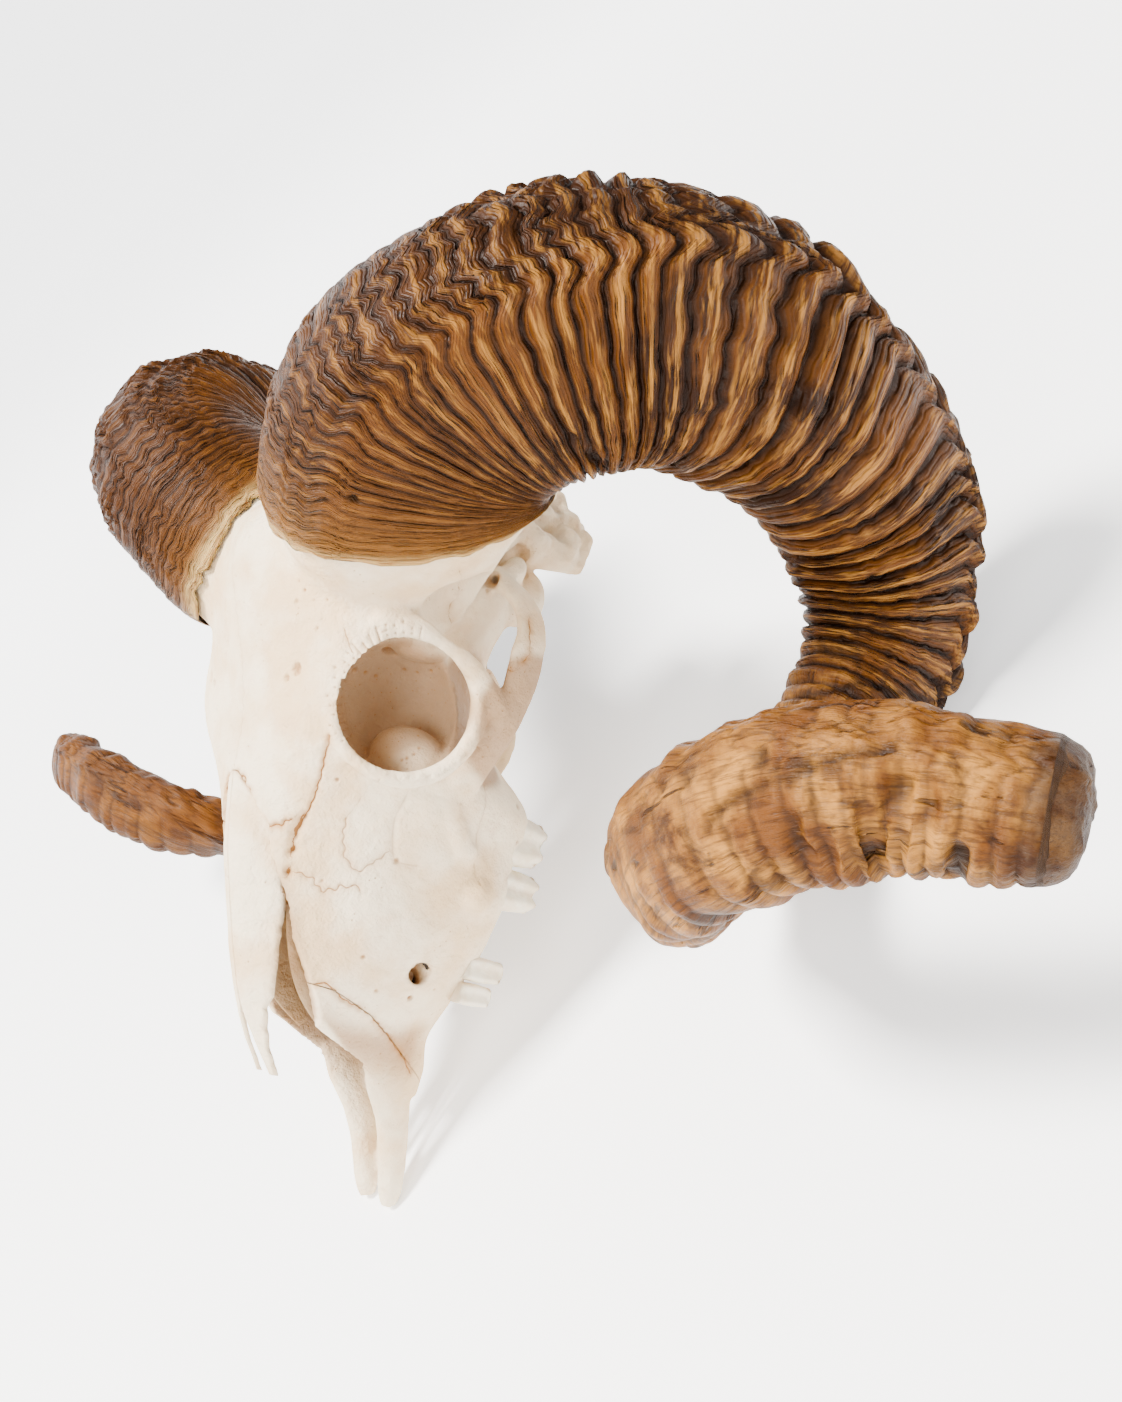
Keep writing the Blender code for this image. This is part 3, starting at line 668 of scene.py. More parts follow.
class NodeBoard:
    """Adds and joins the shader nodes of one material."""

    def __init__(self, name: str) -> None:
        """Start a material with a Principled surface."""
        self.material = bpy.data.materials.new(name)
        self.material.use_nodes = True
        self.tree = self.material.node_tree
        self.surface = self.tree.nodes["Principled BSDF"]

    def node(self, kind: str, **settings: object) -> bpy.types.Node:
        """Add a node and set its options."""
        made = self.tree.nodes.new(kind)
        for name, value in settings.items():
            setattr(made, name, value)
        return made

    def plug(self, socket: bpy.types.NodeSocket, value: object) -> None:
        """Join a socket to an output, or give it a fixed value."""
        if isinstance(value, bpy.types.NodeSocket):
            self.tree.links.new(value, socket)
        elif isinstance(value, (int, float)):
            socket.default_value = value
        else:
            socket.default_value = tuple(value) + (1.0,) * (len(socket.default_value) - len(value))

    def fill(self, node: bpy.types.Node, **inputs: object) -> None:
        """Plug values into a node's inputs, named with _ for a space."""
        for name, value in inputs.items():
            self.plug(node.inputs[name.replace("_", " ")], value)

    def finish(self, **inputs: object) -> bpy.types.Material:
        """Plug values into the surface and give back the material."""
        self.fill(self.surface, **inputs)
        return self.material

    def math(self, operation: str, first: object, second: object = 0.0, clamp: bool = False) -> object:
        """Work out a number from one or two others."""
        made = self.node("ShaderNodeMath", operation=operation, use_clamp=clamp)
        self.plug(made.inputs[0], first)
        self.plug(made.inputs[1], second)
        return made.outputs[0]

    def value(self, name: str) -> object:
        """A number kept at the mesh's points."""
        return self.node("ShaderNodeAttribute", attribute_name=name).outputs["Fac"]

    def vector(self, name: str) -> object:
        """A vector kept at the mesh's points."""
        return self.node("ShaderNodeAttribute", attribute_name=name).outputs["Vector"]

    def place(self) -> object:
        """The surface's own place in mm."""
        coordinates = self.node("ShaderNodeTexCoord")
        return self.scaled(coordinates.outputs["Object"], (1000.0, 1000.0, 1000.0))

    def scaled(self, vector: object, scale: Point) -> object:
        """A place stretched along its axes."""
        made = self.node("ShaderNodeMapping")
        self.fill(made, Vector=vector, Scale=scale)
        return made.outputs["Vector"]

    def noise(self, vector: object, size: float, detail: float = 3.0, rough: float = 0.5,
              warp: float = 0.0) -> object:
        """Cloudy values from 0 to 1 with features of a size in mm."""
        made = self.node("ShaderNodeTexNoise")
        self.fill(made, Vector=vector, Scale=1.0 / size, Detail=detail, Roughness=rough, Distortion=warp)
        return made.outputs["Fac"]

    def cells(self, vector: object, size: float, feature: str = "F1") -> object:
        """Distance to the nearest of scattered points, in cells of a size in mm."""
        made = self.node("ShaderNodeTexVoronoi", feature=feature)
        self.fill(made, Vector=vector, Scale=1.0 / size)
        return made.outputs["Distance"]

    def between(self, value: object, low: float, high: float) -> object:
        """Rise from 0 at low to 1 at high, or fall where low is the larger."""
        made = self.node("ShaderNodeMapRange", interpolation_type="SMOOTHSTEP")
        start, end = (0.0, 1.0) if low < high else (1.0, 0.0)
        self.fill(made, Value=value, From_Min=min(low, high), From_Max=max(low, high),
                  To_Min=start, To_Max=end)
        return made.outputs["Result"]

    def blend(self, share: object, first: object, second: object) -> object:
        """Mix two colours."""
        made = self.node("ShaderNodeMix", data_type="RGBA")
        self.plug(made.inputs[0], share)
        self.plug(made.inputs[6], first)
        self.plug(made.inputs[7], second)
        return made.outputs[2]

    def times(self, first: object, second: object) -> object:
        """Multiply two numbers."""
        return self.math("MULTIPLY", first, second)

    def less(self, first: object, second: object, clamp: bool = False) -> object:
        """Subtract the second number from the first."""
        return self.math("SUBTRACT", first, second, clamp)

    def bump(self, height: object, depth: float, strength: float = 1.0, below: object = None) -> object:
        """Turn a height in mm units into a bent normal."""
        made = self.node("ShaderNodeBump")
        self.fill(made, Height=height, Distance=depth * MM, Strength=strength)
        if below is not None:
            self.plug(made.inputs["Normal"], below)
        return made.outputs["Normal"]

    def hollows(self, low: float, high: float) -> object:
        """How sharply the surface bends in, from 0 to 1."""
        geometry = self.node("ShaderNodeNewGeometry")
        return self.between(geometry.outputs["Pointiness"], high, low)


@dataclass(frozen=True)
class BoneFinish:
    """Dry, bleached bone with pores, warm patches and soiled seams, and painted shade in its sockets, hollows
    and holes.
    """

    white: tuple[float, float, float] = (0.79, 0.66, 0.47)
    cream: tuple[float, float, float] = (0.68, 0.48, 0.27)
    rose: tuple[float, float, float] = (0.56, 0.35, 0.20)
    soil_and_shade: tuple[float, float, float] = (0.36, 0.15, 0.026)
    shade: tuple[float, float, float] = (0.30, 0.16, 0.07)
    hole_shade: tuple[float, float, float] = (0.02, 0.012, 0.008)
    crack: tuple[float, float, float] = (0.27, 0.105, 0.018)
    roughness: float = 0.62
    warmth: float = 0.0
    # Sizes of the patterns in mm
    cloud_size: float = 30.0
    blush_size: float = 13.0
    stain_size: float = 5.0
    speck_size: float = 2.3
    patch_size: float = 17.0

    def material(self, name: str) -> bpy.types.Material:
        """Build the finish.

        Args:
            name: Name of the material.

        Returns:
            The material.
        """
        board = NodeBoard(name)
        place = board.place()
        clouds = board.noise(place, self.cloud_size, 4.0, 0.55)
        clouds = board.between(clouds, 0.38 - self.warmth, 0.66 - self.warmth)
        colour = board.blend(clouds, self.white, self.cream)
        blush = board.between(board.noise(place, self.blush_size, 4.0, 0.6), 0.52, 0.74)
        colour = board.blend(board.times(blush, 0.35), colour, self.rose)
        inside = board.value("inside")
        colour = board.blend(inside, colour, self.shade)
        bent = board.hollows(0.44, 0.497)
        colour = board.blend(board.times(bent, 0.45), colour, self.shade)
        stain_and_shade = board.value("stain_and_shade")
        patchy = board.times(stain_and_shade, board.between(board.noise(place, self.stain_size, 3.0, 0.6), 0.25, 0.6))
        colour = board.blend(board.times(patchy, 0.75), colour, self.soil_and_shade)
        stray = board.times(board.less(board.noise(place, 1.3, 2.0), 0.5), 0.5)
        line = board.math("ABSOLUTE", board.math("ADD", board.value("seam"), stray))
        thin = board.math("LESS_THAN", line, board.math("ADD", board.value("line"), 0.20))
        thin = board.times(thin, board.value("near"))
        colour = board.blend(board.times(thin, 0.9), colour, self.crack)
        speck = board.between(board.cells(place, self.speck_size), 0.16, 0.08)
        patch = board.between(board.noise(place, self.patch_size, 2.0), 0.56, 0.66)
        speck = board.times(speck, board.math("ADD", patch, inside, clamp=True))
        colour = board.blend(board.times(speck, 0.55), colour, self.soil_and_shade)
        # Painted shade: where the stain mark runs deepest, in holes and down the tunnel below the eye, the
        # colour turns nearly black.
        deep = board.between(stain_and_shade, 0.86, 0.98)
        colour = board.blend(deep, colour, self.hole_shade)
        rough = board.math("ADD", board.times(board.noise(place, 4.0), 0.22), self.roughness - 0.1)
        fine = board.bump(board.noise(place, 6.0, 4.0, 0.6), 2.0, 0.9)
        fine = board.bump(board.noise(place, 0.9, 3.0, 0.6), 0.22, 1.0, fine)
        fibre = board.scaled(place, (0.5, 0.16, 0.5))
        fine = board.bump(board.noise(fibre, 0.6, 3.0, 0.6), 0.22, 0.8, fine)
        fine = board.bump(board.less(1.0, speck), 0.35, 1.0, fine)
        fine = board.bump(board.less(1.0, thin), 0.3, 1.0, fine)
        return board.finish(Base_Color=colour, Roughness=rough, Normal=fine, Specular_IOR_Level=0.22,
                            Subsurface_Weight=0.12, Subsurface_Radius=(1.0, 0.65, 0.4),
                            Subsurface_Scale=0.002)


@dataclass(frozen=True)
class ToothFinish:
    """Worn enamel, cream, with brown in its folds that is partly stain and partly painted shade."""

    enamel: tuple[float, float, float] = (0.80, 0.71, 0.55)
    root: tuple[float, float, float] = (0.72, 0.60, 0.42)
    soil_and_shade: tuple[float, float, float] = (0.36, 0.20, 0.08)

    def material(self, name: str) -> bpy.types.Material:
        """Build the finish.

        Args:
            name: Name of the material.

        Returns:
            The material.
        """
        board = NodeBoard(name)
        place = board.place()
        clouds = board.between(board.noise(place, 6.0, 3.0, 0.6), 0.4, 0.65)
        colour = board.blend(clouds, self.enamel, self.root)
        # Brown where the surface bends in: partly stain, partly painted shade in the folds.
        bent = board.hollows(0.43, 0.495)
        colour = board.blend(board.times(bent, 0.7), colour, self.soil_and_shade)
        streak = board.scaled(place, (1.2, 1.2, 0.3))
        return board.finish(Base_Color=colour, Roughness=0.42, Subsurface_Weight=0.1, Subsurface_Scale=0.001,
                            Normal=board.bump(board.noise(streak, 1.0, 3.0), 0.15))


class HornSkin:
    """Running values of a horn's skin, which its colours and its fine relief share."""

    def __init__(self, board: NodeBoard, finish: "HornFinish") -> None:
        """Read the sheath's marks and lay the patterns on them.

        Args:
            board: The material's nodes.
            finish: The finish, with the sizes of its patterns.
        """
        self.board = board
        self.grain = board.vector("grain")
        self.ribs = board.value("ribs")
        self.rise = board.value("rise")
        self.tip = board.value("tip")
        self.band = board.value("band")
        self.foot = board.value("foot")
        self.lip = board.value("lip")
        self.ribbed = board.less(1.0, self.tip)
        along = board.scaled(self.grain, (0.07, 1.0, 1.0))
        across = board.scaled(self.grain, (1.0, 0.12, 0.12))
        self.clouds = board.noise(self.grain, finish.cloud_size, 4.0, 0.62)
        self.streaks = board.noise(across, finish.streak_size, 4.0, 0.6, 0.3)
        self.fibres = board.noise(along, finish.fibre_size, 4.0, 0.65)
        groove = self.lines(1.0, 0.16, 7.0, 0.20)
        self.groove = board.times(groove, board.between(board.noise(across, 5.0, 3.0, 0.6), 0.30, 0.60))
        fine = self.lines(3.0, 0.45, 12.0, 0.26)
        self.fine = board.times(fine, board.between(board.noise(self.grain, 10.0, 3.0), 0.36, 0.62))
        self.hair = self.lines(7.0, 0.40, 14.0, 0.34)
        crack = board.noise(board.scaled(self.grain, (0.16, 1.0, 1.0)), finish.crack_size, 3.0, 0.6, 0.4)
        crack = board.between(crack, 0.40, 0.34)
        self.crack = board.times(crack, board.between(board.noise(self.grain, 18.0, 2.0), 0.46, 0.58))

    def lines(self, times: float, wander: float, size: float, wide: float) -> object:
        """Thin lines that run round the horn with the ribs.

        Args:
            times: Lines for each rib.
            wander: How far a line strays, in ribs.
            size: Length over which it strays, in mm.
            wide: Share of the spacing that a line covers.

        Returns:
            1 on a line and 0 between lines.
        """
        board = self.board
        stray = board.times(board.less(board.noise(self.grain, size, 2.0), 0.5), wander)
        turn = board.math("FRACT", board.times(board.math("ADD", self.ribs, stray), times))
        gap = board.less(0.5, board.math("ABSOLUTE", board.less(turn, 0.5)))
        return board.between(gap, wide, 0.0)


@dataclass(frozen=True)
class HornFinish:
    """Ribbed horn: dark in the grooves, partly as painted shade, honey on the crests with a partly painted
    highlight, amber at its thin edge.
    """

    dark: tuple[float, float, float] = (0.010, 0.0035, 0.0012)
    brown: tuple[float, float, float] = (0.019, 0.0054, 0.0008)
    honey: tuple[float, float, float] = (0.095, 0.0300, 0.0032)
    straw: tuple[float, float, float] = (0.340, 0.145, 0.024)
    amber: tuple[float, float, float] = (0.105, 0.0320, 0.0030)
    pale: tuple[float, float, float] = (0.60, 0.40, 0.15)
    grey: tuple[float, float, float] = (0.045, 0.024, 0.012)
    worn_dark: float = 0.03
    # Sizes of the patterns in mm
    cloud_size: float = 24.0
    streak_size: float = 1.6
    fibre_size: float = 1.0
    worn_size: float = 15.0
    blotch_size: float = 9.0
    patch_size: float = 20.0
    crack_size: float = 3.4
    ash_size: float = 5.0

    def ribbed_colour(self, board: NodeBoard, skin: HornSkin) -> object:
        """Colour of the ribbed stretch: pale on the crests, partly as a painted highlight, dark along the
        fine lines.
        """
        colour = board.blend(board.between(skin.clouds, 0.36, 0.62), self.brown, self.honey)
        colour = board.blend(board.times(skin.band, 0.80), colour, self.brown)
        # Paler worn crests on the tops of the ribs, partly a painted highlight.
        light = board.times(board.between(skin.rise, 0.60, 1.0), board.between(skin.streaks, 0.44, 0.63))
        light = board.times(light, board.less(0.85, board.times(skin.band, 0.40)))
        colour = board.blend(light, colour, self.straw)
        low = board.blend(board.between(skin.streaks, 0.40, 0.62), self.honey, self.amber)
        colour = board.blend(board.times(skin.foot, 0.8), colour, low)
        colour = board.blend(board.times(skin.hair, 0.22), colour, self.brown)
        lines = board.times(skin.fine, board.less(0.42, board.times(skin.foot, 0.2)))
        return board.blend(lines, colour, self.dark)

    def worn_colour(self, board: NodeBoard, skin: HornSkin) -> object:
        """Colour of the worn end: blotched, with painted shade in its low places, and with fibres and short
        cracks along it.
        """
        colour = board.between(board.noise(skin.grain, self.worn_size, 4.0, 0.6), 0.38, 0.66)
        colour = board.blend(colour, self.honey, self.straw)
        blotch = board.noise(board.scaled(skin.grain, (0.45, 1.0, 1.0)), self.blotch_size, 4.0, 0.68, 0.8)
        blotch = board.between(blotch, 0.50 - self.worn_dark, 0.68)
        colour = board.blend(board.times(blotch, 0.8), colour, self.brown)
        colour = board.blend(board.times(skin.band, 0.50), colour, self.honey)
        # Painted shade: the low places of the worn end are darker.
        ridge = board.times(board.between(skin.rise, 0.72, 0.30), 0.6)
        colour = board.blend(ridge, colour, self.brown)
        fibres = board.times(board.between(skin.fibres, 0.5, 0.36), 0.55)
        colour = board.blend(fibres, colour, self.brown)
        patch = board.between(board.noise(skin.grain, self.patch_size, 3.0, 0.5), 0.60, 0.74)
        colour = board.blend(board.times(patch, 0.35), colour, self.grey)
        return board.blend(board.times(skin.crack, 0.75), colour, self.dark)

    def shade_and_wear(self, board: NodeBoard, skin: HornSkin, colour: object) -> object:
        """Paint shade into the grooves and hollows, darken the lines along the grooves, and lay on the stains
        with their painted shade, the pale rim and the broken end.
        """
        # Painted shade down into the grooves between the ribs.
        groove_shade = board.between(skin.rise, 0.80, 0.05)
        colour = board.blend(board.times(board.times(groove_shade, skin.ribbed), 0.62), colour, self.dark)
        # Darker lines along the grooves between the ribs, fainter near the foot and at the worn end.
        dark_groove_lines = board.less(board.math("ADD", skin.ribbed, 0.50), board.times(skin.foot, 1.3), clamp=True)
        dark_groove_lines = board.times(skin.groove, dark_groove_lines)
        colour = board.blend(board.times(dark_groove_lines, 0.9), colour, self.dark)
        # Painted shade in the hollows.
        colour = board.blend(board.times(board.hollows(0.42, 0.49), 0.6), colour, self.dark)
        # Stains round the cracks and pits, with painted shade in them.
        colour = board.blend(board.times(board.value("stain_and_shade"), 0.92), colour, self.dark)
        colour = board.blend(board.times(skin.lip, 0.6), colour, self.straw)
        edge = board.times(board.between(skin.lip, 0.5, 0.9), board.between(skin.streaks, 0.3, 0.6))
        colour = board.blend(board.times(edge, 0.65), colour, self.pale)
        ash = board.between(board.noise(skin.grain, self.ash_size, 4.0), 0.4, 0.6)
        ash = board.blend(ash, self.grey, self.brown)
        return board.blend(board.value("broken"), colour, ash)

    def relief(self, board: NodeBoard, skin: HornSkin) -> object:
        """Fine lines, streaks, fibres and cracks, too thin for the mesh."""
        bent = board.bump(board.times(board.less(1.0, skin.fine), skin.ribbed), 0.9, 0.9)
        bent = board.bump(board.times(board.less(1.0, skin.hair), skin.ribbed), 0.3, 0.8, bent)
        bent = board.bump(board.times(skin.streaks, skin.ribbed), 0.5, 0.8, bent)
        bent = board.bump(board.times(skin.fibres, board.math("ADD", skin.tip, 0.15)), 0.8, 0.9, bent)
        bent = board.bump(board.less(1.0, board.times(skin.crack, skin.tip)), 0.8, 0.9, bent)
        return board.bump(board.noise(skin.grain, 0.6, 2.0), 0.12, 0.8, bent)

    def material(self, name: str) -> bpy.types.Material:
        """Build the finish.

        Args:
            name: Name of the material.

        Returns:
            The material.
        """
        board = NodeBoard(name)
        skin = HornSkin(board, self)
        colour = board.blend(skin.tip, self.ribbed_colour(board, skin), self.worn_colour(board, skin))
        rough = board.math("ADD", board.times(skin.fibres, 0.30), 0.28)
        return board.finish(Base_Color=self.shade_and_wear(board, skin, colour), Roughness=rough,
                            Normal=self.relief(board, skin), Specular_IOR_Level=0.10,
                            Subsurface_Weight=board.times(skin.lip, 0.3),
                            Subsurface_Radius=(1.0, 0.5, 0.2), Subsurface_Scale=0.003)


@dataclass(frozen=True)
class FloorFinish:
    """The studio's plain pale floor, lit from behind like a light table."""

    colour: tuple[float, float, float] = (0.90, 0.90, 0.90)
    near_glow: float = 0.8
    far_glow: float = 2.0
    glow_start_mm: float = 250.0
    glow_end_mm: float = 1500.0

    def material(self, name: str) -> bpy.types.Material:
        """Build the finish."""
        board = NodeBoard(name)
        away = board.node("ShaderNodeVectorMath", operation="LENGTH")
        board.plug(away.inputs[0], board.place())
        far = board.between(away.outputs["Value"], self.glow_start_mm, self.glow_end_mm)
        far = board.times(far, self.far_glow)
        glow = board.math("ADD", far, self.near_glow)
        return board.finish(Base_Color=self.colour, Roughness=0.9, Specular_IOR_Level=0.1,
                            Emission_Color=(1.0, 1.0, 1.0), Emission_Strength=glow)


def hand_over(piece: bpy.types.Object, skull: SkullPlace, finish: bpy.types.Material, slot: str,
              *nodes: str) -> bpy.types.Object:
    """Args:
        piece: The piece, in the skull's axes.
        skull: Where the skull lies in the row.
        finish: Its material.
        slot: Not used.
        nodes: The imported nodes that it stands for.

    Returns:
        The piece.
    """
    piece.data.transform(skull.matrix)
    piece.data.update()
    piece.data.materials.clear()
    piece.data.materials.append(finish)
    piece.data.polygons.foreach_set("use_smooth", [True] * len(piece.data.polygons))
    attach(piece, "root")
    if nodes:
        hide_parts(*nodes)
    LOG.info("%s: %d faces", piece.name, len(piece.data.polygons))
    return piece


@dataclass
class NoseBones:
    """The two long bones that roof the nose."""

    # Station along Y, inner edge, outer edge and height of the middle line
    stations: tuple = (
        (44.5, 4.4, 6.2, 69.0), (54, 3.2, 7.4, 76.0), (61, 1.8, 8.6, 80.5), (66, 0.6, 9.6, 83.0),
        (70, 0.4, 11.8, 85.0), (84, 0.4, 14.2, 91.0), (100, 0.4, 16.2, 96.5), (116, 0.4, 16.5, 102.0),
        (140, 0.4, 15.5, 106.4),
    )
    drop_at_side: float = 12.0
    half: float = 17.0
    thick: float = 2.4
    back_slant: float = 16.0

    def grid(self, extra: float, rows: int, columns: int) -> np.ndarray:
        """Points of the left bone's roof, widened all round.

        Args:
            extra: Widening in mm.
            rows: Points along the nose.
            columns: Points across.

        Returns:
            The grid of points.
        """
        table = np.array(self.stations, float)
        u = np.linspace(0.0, 1.0, rows)[:, None]
        v = np.linspace(0.0, 1.0, columns)[None, :]
        back = table[-1, 0] - self.back_slant * v ** 1.5
        y = table[0, 0] - extra + (back - table[0, 0] + 2.0 * extra) * u
        inner = np.interp(y, table[:, 0], table[:, 1]) - extra
        outer = np.interp(y, table[:, 0], table[:, 2]) + extra
        x = inner + (outer - inner) * v
        z = np.interp(y, table[:, 0], table[:, 3]) - self.drop_at_side * (x / self.half) ** 2
        return np.stack([x, y, z], axis=-1)

    def box_points(self) -> np.ndarray:
        """The plain plate's points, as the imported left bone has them."""
        grid = self.grid(0.0, 15, 6).reshape(-1, 3)
        return np.vstack([grid, grid - (0.0, 0.0, self.thick)])

    def room(self) -> bpy.types.Object:
        """What the skull leaves free for both bones."""
        grid = self.grid(GAP * 1.5, 60, 16)
        other = grid[:, :0:-1] * (-1.0, 1.0, 1.0)
        middle = grid[:, :1] * (0.0, 1.0, 1.0)
        return plate("nose_room", np.concatenate([other, middle, grid[:, 1:]], axis=1), 8.0,
                     self.thick + GAP * 1.5)

    def build(self, side: Side, skull: SkullPlace, finish: bpy.types.Material) -> bpy.types.Object:
        """Make one bone with a gently uneven roof, a toothed back edge and thin splinters at its side.

        Args:
            side: Which bone.
            skull: Where the skull lies.
            finish: Its material.

        Returns:
            The piece.
        """
        rows, columns = 150, 26
        grid = self.grid(0.0, rows, columns)
        seed = 11 if side is Side.LEFT else 23
        grid[..., 2] += 0.25 * value_noise(grid, 9.0, seed) + 0.10 * value_noise(grid, 2.6, seed + 1)
        sides = np.linspace(0.0, 1.0, columns)[None, :, None] ** 3
        ragged = 0.7 * value_noise(grid * (0.2, 1.0, 0.2), 2.2, seed + 2) - 0.35
        grid += sides * np.stack([ragged, ragged * 0, ragged * 0], axis=-1)
        ends = np.linspace(0.0, 1.0, rows)[:, None] ** 12
        grid[..., 1] += ends * (1.1 * value_noise(grid * (1.0, 0.1, 0.1), 1.6, seed + 3) - 0.6)
        made = plate(side.name.lower() + "_nose_bone", grid, 0.0, self.thick * 0.8)
        if side is Side.RIGHT:
            mirror(made)
        points = points_of(made.data)
        table = np.array(self.stations, float)
        outer = np.interp(points[:, 1], table[:, 0], table[:, 2])
        rim = smooth_step(1.6, 0.0, outer - np.abs(points[:, 0])) * 0.10
        back = smooth_step(-2.2, -0.2, points[:, 1] - (table[-1, 0] - self.back_slant * (
            np.abs(points[:, 0]) / outer) ** 1.5)) * 0.55
        set_value(made.data, "stain_and_shade", np.maximum(rim, back))
        return hand_over(made, skull, finish, "bone", "nasal_" + side.name.lower())


@dataclass
class HornForm:
    """A horn's surface, as a function of the share along it and the angle round it.

    Both horns are drawn on the left side, and the right one is mirrored afterwards.
    """

    side: Side
    # Knots of the left horn's centre line, and half sizes of its section
    line: tuple = (
        (53, 234, 96), (87, 260, 110), (127, 290, 66), (133, 282, -18), (123, 228, -61),
        (120, 156, -21), (155, 129, 49), (219, 145, 76), (272, 148, 58),
    )
    depth_knots: tuple = (48.5, 42, 34.5, 19.5, 21.5, 16)
    width_knots: tuple = (38, 32, 28, 17.5, 14, 12)
    eye: tuple = (222.0, 8.0)
    end_up: tuple = (0.023, 0.959, 0.284)
    right_bend: tuple = ((3, (14, -10, 6)), (4, (14, -10, 6)), (5, (6, -4, 3)))
    rim_rise: float = 0.055
    rim_low: float = 10.0
    rim_fade: float = 0.24
    power: float = 2.35
    keel_angle: float = 62.0
    keel_height: float = 0.05
    keel_spread: float = 20.0

    def __post_init__(self) -> None:
        """Work out the centre line and the directions across it."""
        right = self.side is Side.RIGHT
        self.start = -0.024 if right else 0.012
        knots = np.array(self.line, float)
        if right:
            for i, bend in self.right_bend:
                knots[i] += bend
        self.fine = np.linspace(0.0, 1.0, 241)
        centre = smooth_line(knots, self.fine)
        along = np.gradient(centre, axis=0)
        along /= np.linalg.norm(along, axis=1)[:, None]
        out = np.empty_like(centre)
        vector = np.array([0.3, -0.6, 0.75])
        for i, tangent in enumerate(along):
            vector = vector - tangent * (vector @ tangent)
            vector = vector / np.linalg.norm(vector)
            out[i] = vector
        side_way = np.cross(along, out)
        want = centre - np.array([0.0, *self.eye])
        want[:, 0] = 0.0
        turn = np.unwrap(np.arctan2(np.sum(want * side_way, 1), np.sum(want * out, 1)))
        blend = smooth_step(0.58, 0.82, self.fine)
        late = np.array(self.end_up)
        end = np.unwrap(np.arctan2(side_way @ late, out @ late))
        end -= 2.0 * math.pi * round((end[-10] - turn[-10]) / (2.0 * math.pi))
        turn = turn * (1.0 - blend) + end * blend
        self.centre = centre
        self.along = along
        self.out = np.cos(turn)[:, None] * out + np.sin(turn)[:, None] * side_way
        self.across = -np.sin(turn)[:, None] * out + np.cos(turn)[:, None] * side_way
        slim = 1.0 + ((0.75 if right else 1.0) - 1.0) * np.clip((self.fine - 0.35) / 0.45, 0.0, 1.0)
        slim *= 0.95 if right else 1.0
        self.depth = smooth_line([[d] for d in self.depth_knots], self.fine)[:, 0] * slim
        self.width = smooth_line([[w] for w in self.width_knots], self.fine)[:, 0] * slim
        self.length = float(np.linalg.norm(np.diff(centre, axis=0), axis=1).sum())

    def read(self, table: np.ndarray, share: np.ndarray) -> np.ndarray:
        """Read a table kept along the line at any shares."""
        if table.ndim == 1:
            return np.interp(share, self.fine, table)
        return np.stack([np.interp(share, self.fine, column) for column in table.T], axis=-1)

    def rim(self, angle: np.ndarray) -> np.ndarray:
        """Share at which the horn begins, at angles round it."""
        lift = (1.0 - np.cos(angle - math.radians(self.rim_low))) / 2.0
        return self.start + self.rim_rise * lift ** 2.5

    def from_keel(self, angle: np.ndarray) -> np.ndarray:
        """Degrees from the keel, -180 to 180, of angles round the horn in radians."""
        return (np.degrees(angle) - self.keel_angle + 180.0) % 360.0 - 180.0

    def place(self, share: np.ndarray, angle: np.ndarray, scale: float = 1.0,
              grow: np.ndarray | float = 0.0) -> np.ndarray:
        """Points on the skin: a squared oval with a keel between its front and outer side.

        Args:
            share: Shares along the line.
            angle: Angles round it, in radians.
            scale: Size about the centre line.
            grow: Height over the skin in mm.

        Returns:
            The points in mm.
        """
        inside = np.clip(share, 0.0, 1.0)
        along = self.read(self.along, inside)
        centre = self.read(self.centre, inside) + along * ((share - inside) * self.length)[..., None]
        away = self.from_keel(angle)
        keel = 1.0 + self.keel_height * np.exp(-(away / self.keel_spread) ** 2) * np.maximum(0.0, 1.0 - share)
        reach = scale * keel
        one = np.cos(angle)
        two = np.sin(angle)
        deep = self.read(self.depth, inside) * reach + grow
        wide = self.read(self.width, inside) * reach + grow
        one = np.sign(one) * np.abs(one) ** (2.0 / self.power) * deep
        two = np.sign(two) * np.abs(two) ** (2.0 / self.power) * wide
        return (centre + self.read(self.out, inside) * one[..., None]
                + self.read(self.across, inside) * two[..., None])

    def shares(self, run: np.ndarray, angle: np.ndarray) -> np.ndarray:
        """Shares of points that lie a run in mm behind the rim, at angles round the horn."""
        share = self.start + run / self.length
        fade = np.clip(1.0 - (share - self.start) / self.rim_fade, 0.0, 1.0)
        return share + (self.rim(angle) - self.start) * fade


